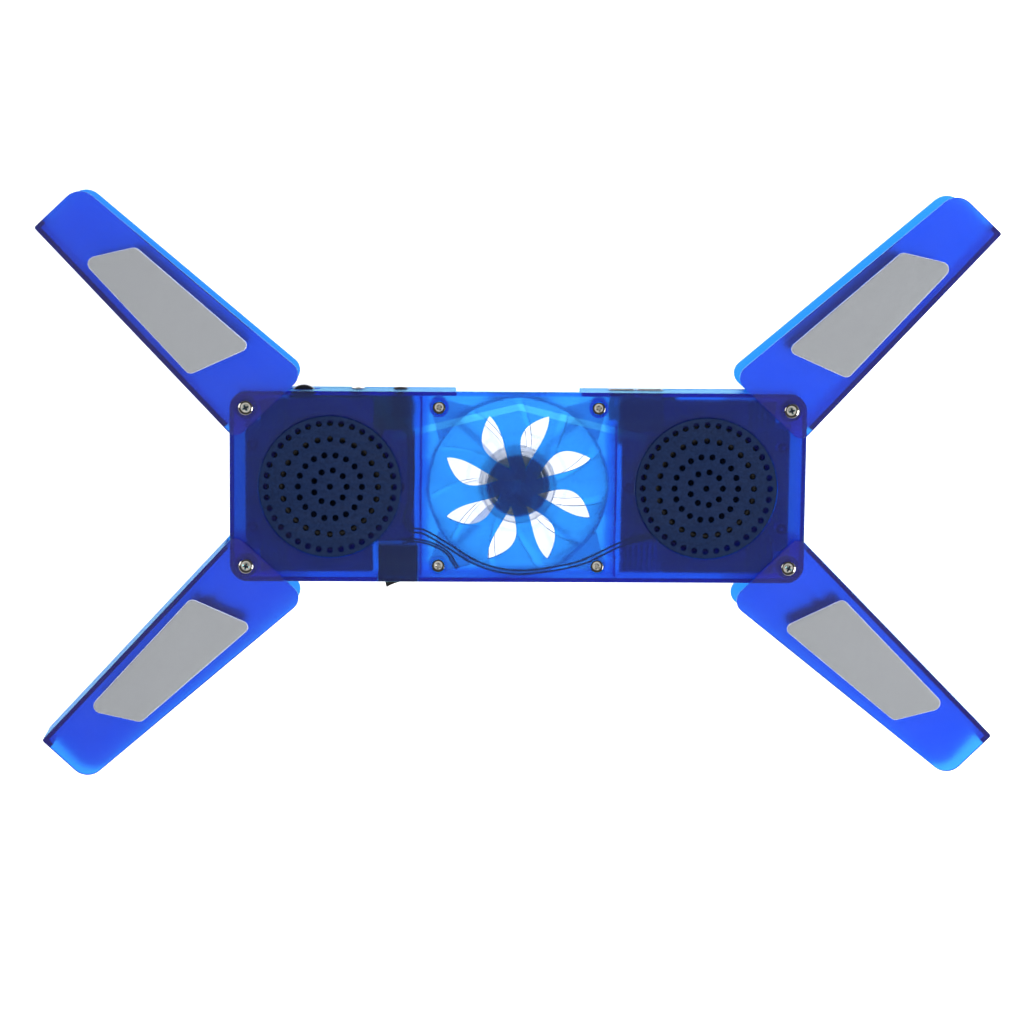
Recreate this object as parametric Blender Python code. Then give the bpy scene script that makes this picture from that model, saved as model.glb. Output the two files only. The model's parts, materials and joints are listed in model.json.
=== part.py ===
"""Folding laptop cooling pad with a clear fan, two loudspeakers and four swing-out arms.

Frame: origin on the resting plane below the middle of the body, +X along the
body's length (right), +Y towards the rear (the side with the sockets), +Z up.
Lengths are millimetres; MM turns them into metres. Angles named _DEG are degrees.
"""
import math

import bmesh
import bpy
from mathutils import Vector
from mathutils.geometry import tessellate_polygon

MM = 0.001

# ---------------------------------------------------------------- shared dimensions
GAP = 0.3                       # clearance kept between separate pieces
OVER = 1.0                      # how far most cutting tools overshoot
WINDOW_FIT = 0.35               # clearance around the sockets and the rocker housing

BODY_HALF_X, BODY_HALF_Y = 129.9, 43.2
BODY_CORNER_R = 8.0             # in plan
BODY_LOW, BODY_TOP = 3.7, 26.7
SPLIT_Z = 8.7                   # parting line of the two covers
WALL = 2.0
EDGE = 0.8                      # chamfer around the body's top and bottom
FLOOR_ROOT = BODY_LOW + 1       # posts start here, inside the floor
ROOF_ROOT = BODY_TOP - 1        # bosses end here, inside the roof

CORNERS = {"rear_left": (-1, 1), "rear_right": (1, 1),
           "front_left": (-1, -1), "front_right": (1, -1)}
PIVOT_X, PIVOT_Y = 122.5, 35.8
PIVOTS = {word: (side_x * PIVOT_X, side_y * PIVOT_Y)
          for word, (side_x, side_y) in CORNERS.items()}
PIVOT_POST_R = 5.7
JOURNAL_R = 2.5                 # stubs that the arms turn on
PIVOT_BORE_R = 1.45

FAN_SCREW = 35.95               # half spacing of the four fan screws
FAN_SCREWS = {word: (side_x * FAN_SCREW, side_y * FAN_SCREW)
              for word, (side_x, side_y) in CORNERS.items()}
FAN_LOW, FAN_TOP = 6.0, 21.0
GUARD_HALF_X, GUARD_HALF_Y, GUARD_CORNER_R = 41.7, 40.3, 5.8
GUARD_LOW, GUARD_TOP = BODY_LOW + 1.1, BODY_LOW + 1.9
VENT_HALF_X = 28.2              # air exit in the rear wall

SPEAKER_SIDES = {"left": -1, "right": 1}
SPEAKER_X = 84.9
GRILLE_R, GRILLE_T = 32.0, 1.1
TRAY_LOW, TRAY_TOP = 18.5, 20.5

ARM_LOW, ARM_TOP = 1.4, 29.2

WHEEL_X, WHEEL_Y = -96.9, 38.4
WHEEL_LOW, WHEEL_TOP = 13.5, 16.5
ROCKER_X, ROCKER_Y = -54.2, -39.4
HOUSING_HALF_X, HOUSING_LOW, HOUSING_TOP = 8.9, 11.0, 23.0
USB_X = {"inner": 47.0, "outer": 59.6}
USB_HALF_X, USB_LOW, USB_TOP = 5.85, 10.2, 15.7
JACK_X = {"audio_jack": -72.4, "power_jack": -53.3}
JACK_Z = 13.4

for old in list(bpy.data.objects):
    bpy.data.objects.remove(old, do_unlink=True)


# ------------------------------------------------------------------ materials
def material(name, colour, roughness, metallic=0.0, transmission=0.0):
    mat = bpy.data.materials.new(name)
    mat.use_nodes = True
    inputs = mat.node_tree.nodes["Principled BSDF"].inputs
    inputs["Base Color"].default_value = (*colour, 1.0)
    inputs["Roughness"].default_value = roughness
    inputs["Metallic"].default_value = metallic
    inputs["Transmission Weight"].default_value = transmission
    return mat


BLUE = material("translucent_blue_plastic", colour=(0.02, 0.10, 0.75), roughness=0.22,
                transmission=0.6)
CLEAR = material("clear_plastic", colour=(0.85, 0.88, 0.92), roughness=0.06,
                 transmission=0.9)
BLACK = material("black_plastic", colour=(0.012, 0.012, 0.014), roughness=0.4)
NAVY = material("grille_plastic", colour=(0.01, 0.02, 0.09), roughness=0.45)
RUBBER = material("grey_rubber", colour=(0.36, 0.37, 0.39), roughness=0.8)
DARK_RUBBER = material("dark_rubber", colour=(0.03, 0.03, 0.035), roughness=0.85)
STEEL = material("plated_steel", colour=(0.72, 0.71, 0.69), roughness=0.25, metallic=1.0)
PAPER = material("speaker_cone_paper", colour=(0.02, 0.02, 0.022), roughness=0.9)
FERRITE = material("ferrite", colour=(0.05, 0.05, 0.055), roughness=0.6)
BOARD = material("circuit_board", colour=(0.02, 0.16, 0.07), roughness=0.5)
WIRE = material("wire_insulation", colour=(0.015, 0.015, 0.02), roughness=0.5)
COPPER = material("copper_winding", colour=(0.55, 0.12, 0.06), roughness=0.35, metallic=0.6)


# ------------------------------------------------------------------ 2-D outlines
def span(half, middle=0.0):
    return middle - half, middle + half


def polar(radius, angle):
    return radius * math.cos(angle), radius * math.sin(angle)


def arc(radius, start, end, steps):
    return [polar(radius, start + (end - start) * k / steps) for k in range(steps + 1)]


def moved(points, dx, dy):
    return [(dx + x, dy + y) for x, y in points]


def turned_by(points, angle):
    cosine, sine = math.cos(angle), math.sin(angle)
    return [(x * cosine - y * sine, x * sine + y * cosine) for x, y in points]


def circle(radius, count, centre=(0.0, 0.0), phase=0.0):
    ring = [polar(radius, 2 * math.pi * k / count + phase) for k in range(count)]
    return moved(ring, *centre)


def rounded(points, radii, steps=4):
    """Polygon with its corners turned into arcs; radii is one radius or a tuple of them."""
    out = []
    for k, point in enumerate(points):
        corner = Vector(point)
        before = (Vector(points[k - 1]) - corner).normalized()
        after = (Vector(points[(k + 1) % len(points)]) - corner).normalized()
        radius = radii[k] if isinstance(radii, tuple) else radii
        if radius <= 0:
            out.append((corner.x, corner.y))
            continue
        half = before.angle(after) / 2
        centre = corner + (before + after).normalized() * (radius / math.sin(half))
        start = corner + before * (radius / math.tan(half)) - centre
        end = corner + after * (radius / math.tan(half)) - centre
        first = math.atan2(start.y, start.x)
        turn = math.atan2(end.y, end.x) - first
        turn = (turn + math.pi) % (2 * math.pi) - math.pi
        out += moved(arc(radius, first, first + turn, steps), centre.x, centre.y)
    return out


def box(x_range, y_range, radius=0.0, steps=3):
    (left, right), (front, rear) = x_range, y_range
    return rounded([(left, front), (right, front), (right, rear), (left, rear)], radius, steps)


def body_outline(inset):
    return box(span(BODY_HALF_X - inset), span(BODY_HALF_Y - inset), BODY_CORNER_R - inset, 4)


def shrink(points, amount):
    """Anticlockwise outline moved inwards by an amount; a negative amount grows it."""
    out = []
    for k, point in enumerate(points):
        corner = Vector(point)
        arriving = (corner - Vector(points[k - 1])).normalized()
        leaving = (Vector(points[(k + 1) % len(points)]) - corner).normalized()
        normal = Vector((-leaving.y, leaving.x))
        middle = (Vector((-arriving.y, arriving.x)) + normal).normalized()
        shifted = corner + middle * (amount / middle.dot(normal))
        out.append((shifted.x, shifted.y))
    return out


# ------------------------------------------------------------------ solids
def make(name, solid, mat):
    bmesh.ops.recalc_face_normals(solid, faces=solid.faces)
    mesh = bpy.data.meshes.new(name)
    solid.to_mesh(mesh)
    solid.free()
    obj = bpy.data.objects.new(name, mesh)
    bpy.context.collection.objects.link(obj)
    if mat:
        mesh.materials.append(mat)
    return obj


def add_loop(solid, points, z):
    return [solid.verts.new((x * MM, y * MM, z * MM)) for x, y in points]


def join_loops(solid, lower, upper):
    """Band of quads between two closed loops of equal vertex count."""
    for k in range(len(lower)):
        after = (k + 1) % len(lower)
        solid.faces.new((lower[k], lower[after], upper[after], upper[k]))


def plate(name, outer, z_range, mat=None, holes=()):
    """Flat plate with through holes."""
    loops = [outer, *holes]
    flat = [point for loop in loops for point in loop]
    triangles = tessellate_polygon([[Vector((x, y, 0.0)) for x, y in loop] for loop in loops])
    solid = bmesh.new()
    low, top = [add_loop(solid, flat, z) for z in z_range]
    for i, j, k in triangles:
        solid.faces.new((low[i], low[j], low[k]))
        solid.faces.new((top[k], top[j], top[i]))
    start = 0
    for loop in loops:
        end = start + len(loop)
        join_loops(solid, low[start:end], top[start:end])
        start = end
    return make(name, solid, mat)


def stack(name, levels, mat):
    """Solid through outlines of equal point count at rising heights."""
    solid = bmesh.new()
    rings = [add_loop(solid, points, z) for points, z in levels]
    for lower, upper in zip(rings, rings[1:]):
        join_loops(solid, lower, upper)
    solid.faces.new(rings[0])
    solid.faces.new(rings[-1])
    return make(name, solid, mat)


def turned(name, profile, count, mat=None, centre=(0.0, 0.0)):
    """Closed profile of (radius, height) points turned about a vertical axis."""
    solid = bmesh.new()
    rings = []
    for radius, z in profile:
        points = [centre] if radius == 0 else circle(radius, count, centre)
        rings.append(add_loop(solid, points, z))
    for one, two in zip(rings, rings[1:] + rings[:1]):
        if len(one) == len(two):
            if len(one) > 1:
                join_loops(solid, one, two)
            continue
        for k in range(count):
            after = (k + 1) % count
            if len(one) == 1:
                solid.faces.new((one[0], two[after], two[k]))
            else:
                solid.faces.new((one[k], one[after], two[0]))
    return make(name, solid, mat)


def ring_profile(inner, outer, low, top):
    return [(inner, low), (outer, low), (outer, top), (inner, top)]


def tool(outline, z_range):
    """Plain prism to be used up by a Boolean."""
    return plate("tool", outline, z_range)


def disc(radius, count, centre, z_range):
    return tool(circle(radius, count, centre), z_range)


def rod_along_y(radius, half_length, count, x, y, z):
    rod = turned("tool", ring_profile(0, radius, -half_length, half_length), count)
    rod.rotation_euler = (math.pi / 2, 0, 0)
    rod.location = (x * MM, y * MM, z * MM)
    return rod


def combine(target, tools, operation):
    """Apply one Boolean per tool to the target and drop the tools."""
    for cutter in tools:
        mod = target.modifiers.new(operation, "BOOLEAN")
        mod.operation = operation
        mod.object = cutter
        mod.solver = "EXACT"
        graph = bpy.context.evaluated_depsgraph_get()
        graph.update()
        mesh = bpy.data.meshes.new_from_object(target.evaluated_get(graph))
        target.modifiers.clear()
        mesh.name = target.name
        target.data = mesh
        bpy.data.objects.remove(cutter, do_unlink=True)
    solid = bmesh.new()
    solid.from_mesh(target.data)
    bmesh.ops.dissolve_degenerate(solid, edges=solid.edges, dist=1e-7)
    solid.to_mesh(target.data)
    solid.free()


def cut(target, *tools):
    combine(target, tools, "DIFFERENCE")


def fuse(target, *tools):
    combine(target, tools, "UNION")


def anchor(name, x, y):
    empty = bpy.data.objects.new(name, None)
    empty.empty_display_size = 0.01
    empty.location = (x * MM, y * MM, 0.0)
    bpy.context.collection.objects.link(empty)
    return empty


def attach(obj, parent, spin=0.0):
    obj.rotation_euler = (0.0, 0.0, spin)
    obj.parent = parent


# ------------------------------------------------------------------ bottom cover
PARTITION_X = (43.2, 44.9)      # walls beside the fan bay
GUARD_FIT = 0.4                 # clearance around the fan guard


def build_bottom_cover():
    cover = stack("bottom_cover", [(body_outline(EDGE), BODY_LOW),
                                   (body_outline(0), BODY_LOW + EDGE),
                                   (body_outline(0), SPLIT_Z)], BLUE)
    cut(cover, tool(body_outline(WALL), (BODY_LOW + WALL, SPLIT_Z + OVER)))

    posts = []
    for pivot in PIVOTS.values():
        posts.append(disc(PIVOT_POST_R, 12, pivot, (FLOOR_ROOT, SPLIT_Z)))
        posts.append(disc(JOURNAL_R, 12, pivot, (ARM_LOW + 0.1, BODY_LOW + 1.5)))
    for side in (-1, 1):
        x_range = sorted(side * x for x in PARTITION_X)
        posts.append(tool(box(x_range, span(41.6)), (FLOOR_ROOT, 8.4)))
        posts.append(tool(box(x_range, span(40.7)), (8.0, 23.0)))
    fuse(cover, *posts)

    guard_recess = box(span(GUARD_HALF_X + GUARD_FIT), span(GUARD_HALF_Y + GUARD_FIT),
                       GUARD_CORNER_R + GUARD_FIT)
    air_exit = box(span(VENT_HALF_X), (BODY_HALF_Y - WALL + 0.1, BODY_HALF_Y + OVER))
    cut(cover,
        tool(box(span(40.6), span(39.3), 5.0), (BODY_LOW - OVER, BODY_LOW + 3)),
        tool(guard_recess, (GUARD_LOW - GAP, BODY_LOW + 3)),
        tool(air_exit, (BODY_LOW - OVER, SPLIT_Z + OVER)),
        # notches in the tops of both partitions, where wires cross
        tool(box((-46, -42), (-32, -16)), (20.8, 24)),
        tool(box((42, 46), (-32, -16)), (20.8, 24)),
        # clears the sockets
        tool(box((42, 46), (28.6, 42)), (7.0, 24)),
        *[disc(PIVOT_BORE_R, 8, pivot, (0.5, SPLIT_Z + OVER)) for pivot in PIVOTS.values()])


# ------------------------------------------------------------------ top cover
WIRE_PASS_Z = 23.9              # underside of the two front fan bosses
PEG_R = 2.5                     # pegs above the speaker trays
PEGS = ((-119.5, 18.6), (-119.5, -18.6), (-53.4, -0.4),
        (119.5, 18.5), (119.5, -18.5), (50.4, -0.2))
# chevron groove in plan, its peak towards the rear
GROOVE = [(-57.0, 20.9), (0.0, 34.7), (57.0, 20.9), (57.0, 24.3), (0.0, 38.1), (-57.0, 24.3)]
GROOVE_DEPTH = 0.7
PETAL_COUNT = 8
PETAL_INNER_R, PETAL_OUTER_R = 8.5, 35.0
PETAL_HALF_WIDTH, PETAL_BOW = 4.7, 3.2
SPEAKER_LEDGE_R = 31.2          # ledge that carries the grille
GRILLE_RECESS_R = 32.4
THROUGH_ROOF = (BODY_TOP - 4, BODY_TOP + OVER)
REAR_WALL_Y = (BODY_HALF_Y - WALL - 1.5, BODY_HALF_Y + OVER)
FRONT_WALL_Y = (-BODY_HALF_Y - OVER, -BODY_HALF_Y + WALL + 1.5)


def petal(angle):
    """Bowed leaf slot along a radius of the fan vent, widest a little past halfway out."""
    lower, upper = [], []
    for k in range(7):
        part = k / 6
        x = PETAL_INNER_R + (PETAL_OUTER_R - PETAL_INNER_R) * part
        bow = PETAL_BOW * math.sin(math.pi * part)
        width = 0.0
        if 0 < k < 6:
            width = PETAL_HALF_WIDTH * math.sin(math.pi * part ** 1.25) ** 0.85
            lower.append((x, bow - width))
        upper.append((x, width + bow))
    return turned_by(lower + upper[::-1], angle)


def roof_openings():
    openings = [tool(petal(2 * math.pi * (k + 0.5) / PETAL_COUNT), THROUGH_ROOF)
                for k in range(PETAL_COUNT)]
    for side in SPEAKER_SIDES.values():
        centre = (side * SPEAKER_X, 0)
        openings.append(disc(SPEAKER_LEDGE_R, 40, centre, THROUGH_ROOF))
        openings.append(disc(GRILLE_RECESS_R, 40, centre,
                             (BODY_TOP - GRILLE_T - GAP, BODY_TOP + OVER)))
    for pivot, screw in zip(PIVOTS.values(), FAN_SCREWS.values()):
        openings.append(disc(PIVOT_BORE_R, 8, pivot, (SPLIT_Z - OVER, ARM_TOP + OVER)))
        openings.append(disc(1.7, 8, screw, (FAN_TOP - OVER, BODY_TOP + OVER)))
        openings.append(disc(3.35, 12, screw, (BODY_TOP - 1.3, BODY_TOP + OVER)))
    return openings


def wall_openings():
    openings = [tool(box(span(USB_HALF_X + WINDOW_FIT, x), REAR_WALL_Y),
                     (USB_LOW - GAP, USB_TOP + GAP)) for x in USB_X.values()]
    openings += [rod_along_y(3.45, 3, 12, x, BODY_HALF_Y - WALL / 2, JACK_Z)
                 for x in JACK_X.values()]
    openings.append(tool(box(span(7.2, WHEEL_X), REAR_WALL_Y),
                         (WHEEL_LOW - 0.5, WHEEL_TOP + 0.5)))
    # air exit
    openings.append(tool(box(span(VENT_HALF_X), REAR_WALL_Y), (SPLIT_Z - OVER, 23.4)))
    openings.append(tool(box(span(HOUSING_HALF_X + WINDOW_FIT, ROCKER_X), FRONT_WALL_Y),
                         (HOUSING_LOW - WINDOW_FIT, HOUSING_TOP + WINDOW_FIT)))
    return openings


def build_top_cover():
    cover = stack("top_cover", [(body_outline(0), SPLIT_Z + GAP),
                                (body_outline(0), BODY_TOP - EDGE),
                                (body_outline(EDGE), BODY_TOP)], BLUE)
    cut(cover, tool(body_outline(WALL), (SPLIT_Z, BODY_TOP - WALL)))
    bosses = []
    for pivot, screw in zip(PIVOTS.values(), FAN_SCREWS.values()):
        bosses.append(disc(PIVOT_POST_R, 12, pivot, (SPLIT_Z + GAP, BODY_TOP - 0.7)))
        bosses.append(disc(JOURNAL_R, 12, pivot, (ROOF_ROOT, ARM_TOP)))
        # the front pair stop short, which leaves a way for the wires above the fan
        boss_low = FAN_TOP + GAP if screw[1] > 0 else WIRE_PASS_Z
        bosses.append(disc(4.4, 12, screw, (boss_low, ROOF_ROOT)))
    bosses += [disc(PEG_R, 8, peg, (TRAY_TOP + GAP, ROOF_ROOT)) for peg in PEGS]
    fuse(cover, *bosses)
    cut(cover, tool(GROOVE, (BODY_TOP - WALL - 0.5, BODY_TOP - WALL + GROOVE_DEPTH)))
    cut(cover, *roof_openings(), *wall_openings())


# ------------------------------------------------------------------ loudspeakers
GRILLE_HOLE_R = 1.4
GRILLE_RINGS = ((9, 7.5), (18, 14.4), (24, 21.6), (36, 28.8))   # holes, ring radius

# Front halves of the tray outlines, from the speaker centre; the rear halves mirror
# them. The notches clear the corner posts, and the left tray's wider one also leaves
# room for the rocker switch in front and for the wires behind.
TRAY_FRONTS = {
    "left": [(-38.2, -29.4), (-31.4, -29.4), (-31.4, -39.4),
             (19.4, -39.4), (19.4, -25.4), (38.2, -25.4)],
    "right": [(-38.2, -39.4), (31.4, -39.4), (31.4, -29.4), (38.2, -29.4)],
}
# turned profiles: (radius, height)
BASKET = [(28.4, 20.8), (28.4, 22.0), (24.4, 22.0), (15.6, 13.6),
          (8.2, 13.6), (8.2, 12.4), (16.2, 12.4), (25.2, 20.8)]
CONE = [(0, 18.6), (4.5, 18.0), (7.6, 16.2), (20.4, 22.3), (22.2, 23.8), (24.2, 23.3),
        (27.6, 23.2), (27.6, 22.35), (24.0, 22.35), (20.6, 21.4), (7.2, 15.0), (0, 17.4)]
MAGNET = [(0, 6.4), (14.0, 6.4), (14.0, 7.4), (16.0, 7.4),
          (16.0, 11.0), (14.0, 11.0), (14.0, 12.1), (0, 12.1)]


def grille_holes(centre_x):
    """Four-sided holes: one in the middle and the rest in rings."""
    holes = [circle(GRILLE_HOLE_R, 4, (centre_x, 0))]
    for count, radius in GRILLE_RINGS:
        for k in range(count):
            angle = 2 * math.pi * k / count
            x, y = polar(radius, angle)
            holes.append(circle(GRILLE_HOLE_R, 4, (centre_x + x, y), angle))
    return holes


def build_speaker(word, side):
    centre = (side * SPEAKER_X, 0)
    plate("speaker_grille_" + word, circle(GRILLE_R, 40, centre),
          (BODY_TOP - GRILLE_T, BODY_TOP), NAVY, grille_holes(centre[0]))
    front = TRAY_FRONTS[word]
    outline = front + [(x, -y) for x, y in reversed(front)]
    plate("speaker_tray_" + word, moved(rounded(outline, 1.2, 2), *centre),
          (TRAY_LOW, TRAY_TOP), BLUE, [circle(26.0, 36, centre)])
    turned("speaker_basket_" + word, BASKET, 20, BLACK, centre)
    turned("speaker_cone_" + word, CONE, 20, PAPER, centre)
    turned("speaker_magnet_" + word, MAGNET, 20, FERRITE, centre)


# ------------------------------------------------------------------ fan frame and guard
DUCT_R, DUCT_T = 39.9, 1.0      # bore and wall of the round frame
DUCT_ROOT_R = DUCT_R + 0.4      # the ears start here, inside the duct wall
EAR_R = 4.4                     # ears that take the fan screws
EAR_ROOT_HALF = 10.5
STRUT_X, STRUT_HALF = (12.5, DUCT_R + 0.5), 1.3
GUARD_RIB_HALF = 0.75
GUARD_SLOT_COUNT = 6            # in each ring
GUARD_RINGS = ((7.0, 21.8), (23.3, 38.6))                 # inner and outer radius
GUARD_CORNER_SLOTS = ((42.8, 45.0, 11.0), (46.5, 48.7, 5.0))   # radii, half angle in degrees


def ear_outline(side_x, side_y):
    """Tongue from the duct out to one screw."""
    reach = FAN_SCREW * math.sqrt(2)
    tongue = [(DUCT_ROOT_R, -EAR_ROOT_HALF), (reach, -EAR_R)]
    tongue += [(reach + EAR_R * math.sin(angle), -EAR_R * math.cos(angle))
               for angle in (math.pi / 4, math.pi / 2, 3 * math.pi / 4)]
    tongue += [(reach, EAR_R), (DUCT_ROOT_R, EAR_ROOT_HALF)]
    tongue += [polar(DUCT_ROOT_R, angle) for angle in (0.17, 0.0, -0.17)]
    return turned_by(tongue, math.atan2(side_y, side_x))


def build_fan_frame():
    frame = plate("fan_frame", circle(DUCT_R + DUCT_T, 48), (FAN_LOW, FAN_TOP), CLEAR,
                  [circle(DUCT_R, 48)])
    fuse(frame, *[tool(ear_outline(*sides), (FAN_TOP - 3.2, FAN_TOP - 0.05))
                  for sides in CORNERS.values()])
    near, far = STRUT_X
    bar = [(near, -STRUT_HALF), (far, -STRUT_HALF), (far, STRUT_HALF), (near, STRUT_HALF)]
    fuse(frame, *[tool(turned_by(bar, math.radians(45 + 90 * k)),
                       (FAN_LOW + 0.1, FAN_LOW + 1.7)) for k in range(4)])
    # motor base with a hole for the bearing
    fuse(frame, plate("tool", circle(14.0, 20), (FAN_LOW, FAN_LOW + 1.6),
                      holes=[circle(3.3, 10)]))
    cut(frame, *[disc(1.95, 8, screw, (FAN_LOW - OVER, FAN_TOP + OVER))
                 for screw in FAN_SCREWS.values()])


def sector(start, end, inner, outer, steps):
    return arc(outer, start, end, steps) + arc(inner, start, end, 2)[::-1]


def build_fan_guard():
    slots = []
    pitch = 360 / GUARD_SLOT_COUNT
    for inner, outer in GUARD_RINGS:
        rib = GUARD_RIB_HALF / ((inner + outer) / 2)
        for k in range(GUARD_SLOT_COUNT):
            slots.append(sector(math.radians(pitch * k) + rib,
                                math.radians(pitch * (k + 1)) - rib, inner, outer, 4))
    for k in range(4):
        for inner, outer, half in GUARD_CORNER_SLOTS:
            start, end = span(half, 45 + 90 * k)
            slots.append(sector(math.radians(start), math.radians(end), inner, outer, 3))
    plate("fan_guard", box(span(GUARD_HALF_X), span(GUARD_HALF_Y), GUARD_CORNER_R),
          (GUARD_LOW, GUARD_TOP), CLEAR, slots)


# ------------------------------------------------------------------ rotor and motor
HUB_R, HUB_BORE_R = 17.5, 14.3
ROTOR_LOW, ROTOR_TOP = 9.6, 19.6
HUB_ROOF = ROTOR_TOP - 1.2      # underside of the hub's roof
HUB_PROFILE = [                 # (radius, height)
    (0, ROTOR_TOP), (HUB_R - 0.8, ROTOR_TOP), (HUB_R, ROTOR_TOP - 0.8),
    (HUB_R, ROTOR_LOW), (HUB_BORE_R, ROTOR_LOW), (HUB_BORE_R, HUB_ROOF),
    (3.0, HUB_ROOF), (3.0, ROTOR_TOP - 2.6), (1.35, ROTOR_TOP - 2.6),
    (1.35, ROTOR_TOP - 1.0), (0, ROTOR_TOP - 1.0)]
BLADE_COUNT = 11
BLADE_RADII = (HUB_R - 0.7, 27.5, 39.2)       # root, middle, tip
BLADE_FIRST_DEG, BLADE_WIDTH_DEG = 39.0, 27.0
BLADE_SWEEP_DEG = 0.75                        # per millimetre of radius
BLADE_TOP, BLADE_DROP, BLADE_SAG = 18.6, 8.2, 0.9
BLADE_LEAN = 1.2 * 0.62                       # offset between the two faces, along the turn
BLADE_LIFT = BLADE_LEAN * 0.9                 # and upwards
STATOR_POLE = ((5.4, -0.42), (10.2, -0.20), (11.7, -0.52), (11.9, 0.0),
               (11.7, 0.52), (10.2, 0.20), (5.4, 0.42))   # radius, angle in radians


def blade_face(solid, first, lean, lift):
    """Three by three grid of vertices; rows run from root to tip."""
    rows = []
    for radius in BLADE_RADII:
        root = first + math.radians(BLADE_SWEEP_DEG) * (radius - HUB_R)
        row = []
        for part in (0.0, 0.5, 1.0):
            angle = root - math.radians(BLADE_WIDTH_DEG) * part
            z = BLADE_TOP - BLADE_DROP * part - BLADE_SAG * math.sin(math.pi * part)
            row += add_loop(solid, [polar(radius, angle - lean / radius)], z + lift)
        rows.append(row)
    return rows


def blade(index):
    """One swept blade: a thin curved sheet from the hub to its tip."""
    first = 2 * math.pi * index / BLADE_COUNT + math.radians(BLADE_FIRST_DEG)
    solid = bmesh.new()
    low = blade_face(solid, first, 0.0, 0.0)
    high = blade_face(solid, first, BLADE_LEAN, BLADE_LIFT)
    for i in range(2):
        for j in range(2):
            solid.faces.new((low[i][j], low[i][j + 1], low[i + 1][j + 1], low[i + 1][j]))
            solid.faces.new((high[i][j], high[i + 1][j], high[i + 1][j + 1], high[i][j + 1]))
    rim = [(0, 0), (1, 0), (2, 0), (2, 1), (2, 2), (1, 2), (0, 2), (0, 1)]
    join_loops(solid, [low[i][j] for i, j in rim], [high[i][j] for i, j in rim])
    return make("tool", solid, None)


def build_rotor():
    axis = anchor("fan_axis", 0, 0)
    rotor = turned("fan_rotor", HUB_PROFILE, 22, CLEAR)
    fuse(rotor, *[blade(k) for k in range(BLADE_COUNT)])
    attach(rotor, axis)
    attach(turned("fan_shaft", ring_profile(0, 1.05, 8.6, 18.2), 12, STEEL), axis)
    attach(turned("rotor_magnet", ring_profile(12.3, 13.8, 10.0, 18.0), 24, FERRITE), axis)


def build_motor():
    turned("fan_bearing", ring_profile(1.45, 2.7, 8.2, 15.0), 12, STEEL)
    turned("motor_board", ring_profile(3.1, 12.1, 8.0, 9.1), 20, BOARD)
    poles = [polar(radius, math.radians(90 * k) + offset)
             for k in range(4) for radius, offset in STATOR_POLE]
    plate("fan_stator", poles, (9.5, 16.6), COPPER, [circle(3.1, 16)])


# ------------------------------------------------------------------ electronics
BOARD_REAR_Y = 40.6
USB_SHELL_T = 0.5
WHEEL_R, KNURL_DEPTH, KNURL_POINTS = 6.75, 0.35, 32
ROCKER_REST_DEG = 13.0
ROCKER_FACE = [(-6.6, -5.8), (-3.4, -5.0), (0.0, -4.75), (3.4, -5.0), (6.6, -5.8),
               (6.6, -1.0), (2.5, 2.2), (-2.5, 2.2), (-6.6, -1.0)]   # plan, from its axis


def build_boards():
    plate("amplifier_board", box((-104.0, -47.4), (17.0, BOARD_REAR_Y), 0.8, 2),
          (8.0, 9.4), BOARD)
    plate("usb_board", box((45.6, 72.0), (18.0, BOARD_REAR_Y), 0.8, 2), (7.8, 9.2), BOARD)


def build_usb_port(word, x):
    shell = plate("usb_port_" + word, box(span(USB_HALF_X, x), (30.0, 43.5)),
                  (USB_LOW, USB_TOP), STEEL)
    cut(shell, tool(box(span(USB_HALF_X - USB_SHELL_T, x), (32.0, 45.0)),
                    (USB_LOW + USB_SHELL_T, USB_TOP - USB_SHELL_T)))
    fuse(shell, tool(box(span(4.6, x), (31.0, 42.4)), (12.9, 14.4)))


def build_jack(name, x):
    case = plate(name, box(span(4.0, x), (30.5, 40.8)), (9.7, 17.0), BLACK)
    fuse(case, rod_along_y(3.05, 2.0, 12, x, 41.9, JACK_Z))
    cut(case, rod_along_y(1.8, 6.0, 10, x, 40.5, JACK_Z))


def build_volume_control():
    pot = plate("volume_pot", box(span(4.6, WHEEL_X), (31.5, 40.7)), (9.7, 12.8), BLACK)
    fuse(pot, disc(1.2, 12, (WHEEL_X, WHEEL_Y), (12.0, 15.4)))
    knurl = [polar(WHEEL_R if k % 2 else WHEEL_R - KNURL_DEPTH, 2 * math.pi * k / KNURL_POINTS)
             for k in range(KNURL_POINTS)]
    wheel = plate("volume_wheel", knurl, (WHEEL_LOW, WHEEL_TOP), BLACK)
    # blind socket for the shaft
    cut(wheel, disc(1.5, 12, (0, 0), (WHEEL_LOW - OVER, WHEEL_TOP - 0.8)))
    attach(wheel, anchor("volume_axis", WHEEL_X, WHEEL_Y))


def build_rocker():
    housing = plate("rocker_housing",
                    box(span(HOUSING_HALF_X, ROCKER_X), (-43.6, -27.0), 0.5, 1),
                    (HOUSING_LOW, HOUSING_TOP), BLACK)
    cut(housing, tool(box(span(8.1, ROCKER_X), (-45.0, -36.3)),
                      (HOUSING_LOW + 1, HOUSING_TOP - 1)))
    button = plate("rocker_button", ROCKER_FACE, (12.4, 21.6), BLACK)
    attach(button, anchor("rocker_axis", ROCKER_X, ROCKER_Y), math.radians(ROCKER_REST_DEG))


# ------------------------------------------------------------------ leads
LEAD_R, LEAD_SIDES = 0.5, 6
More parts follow.
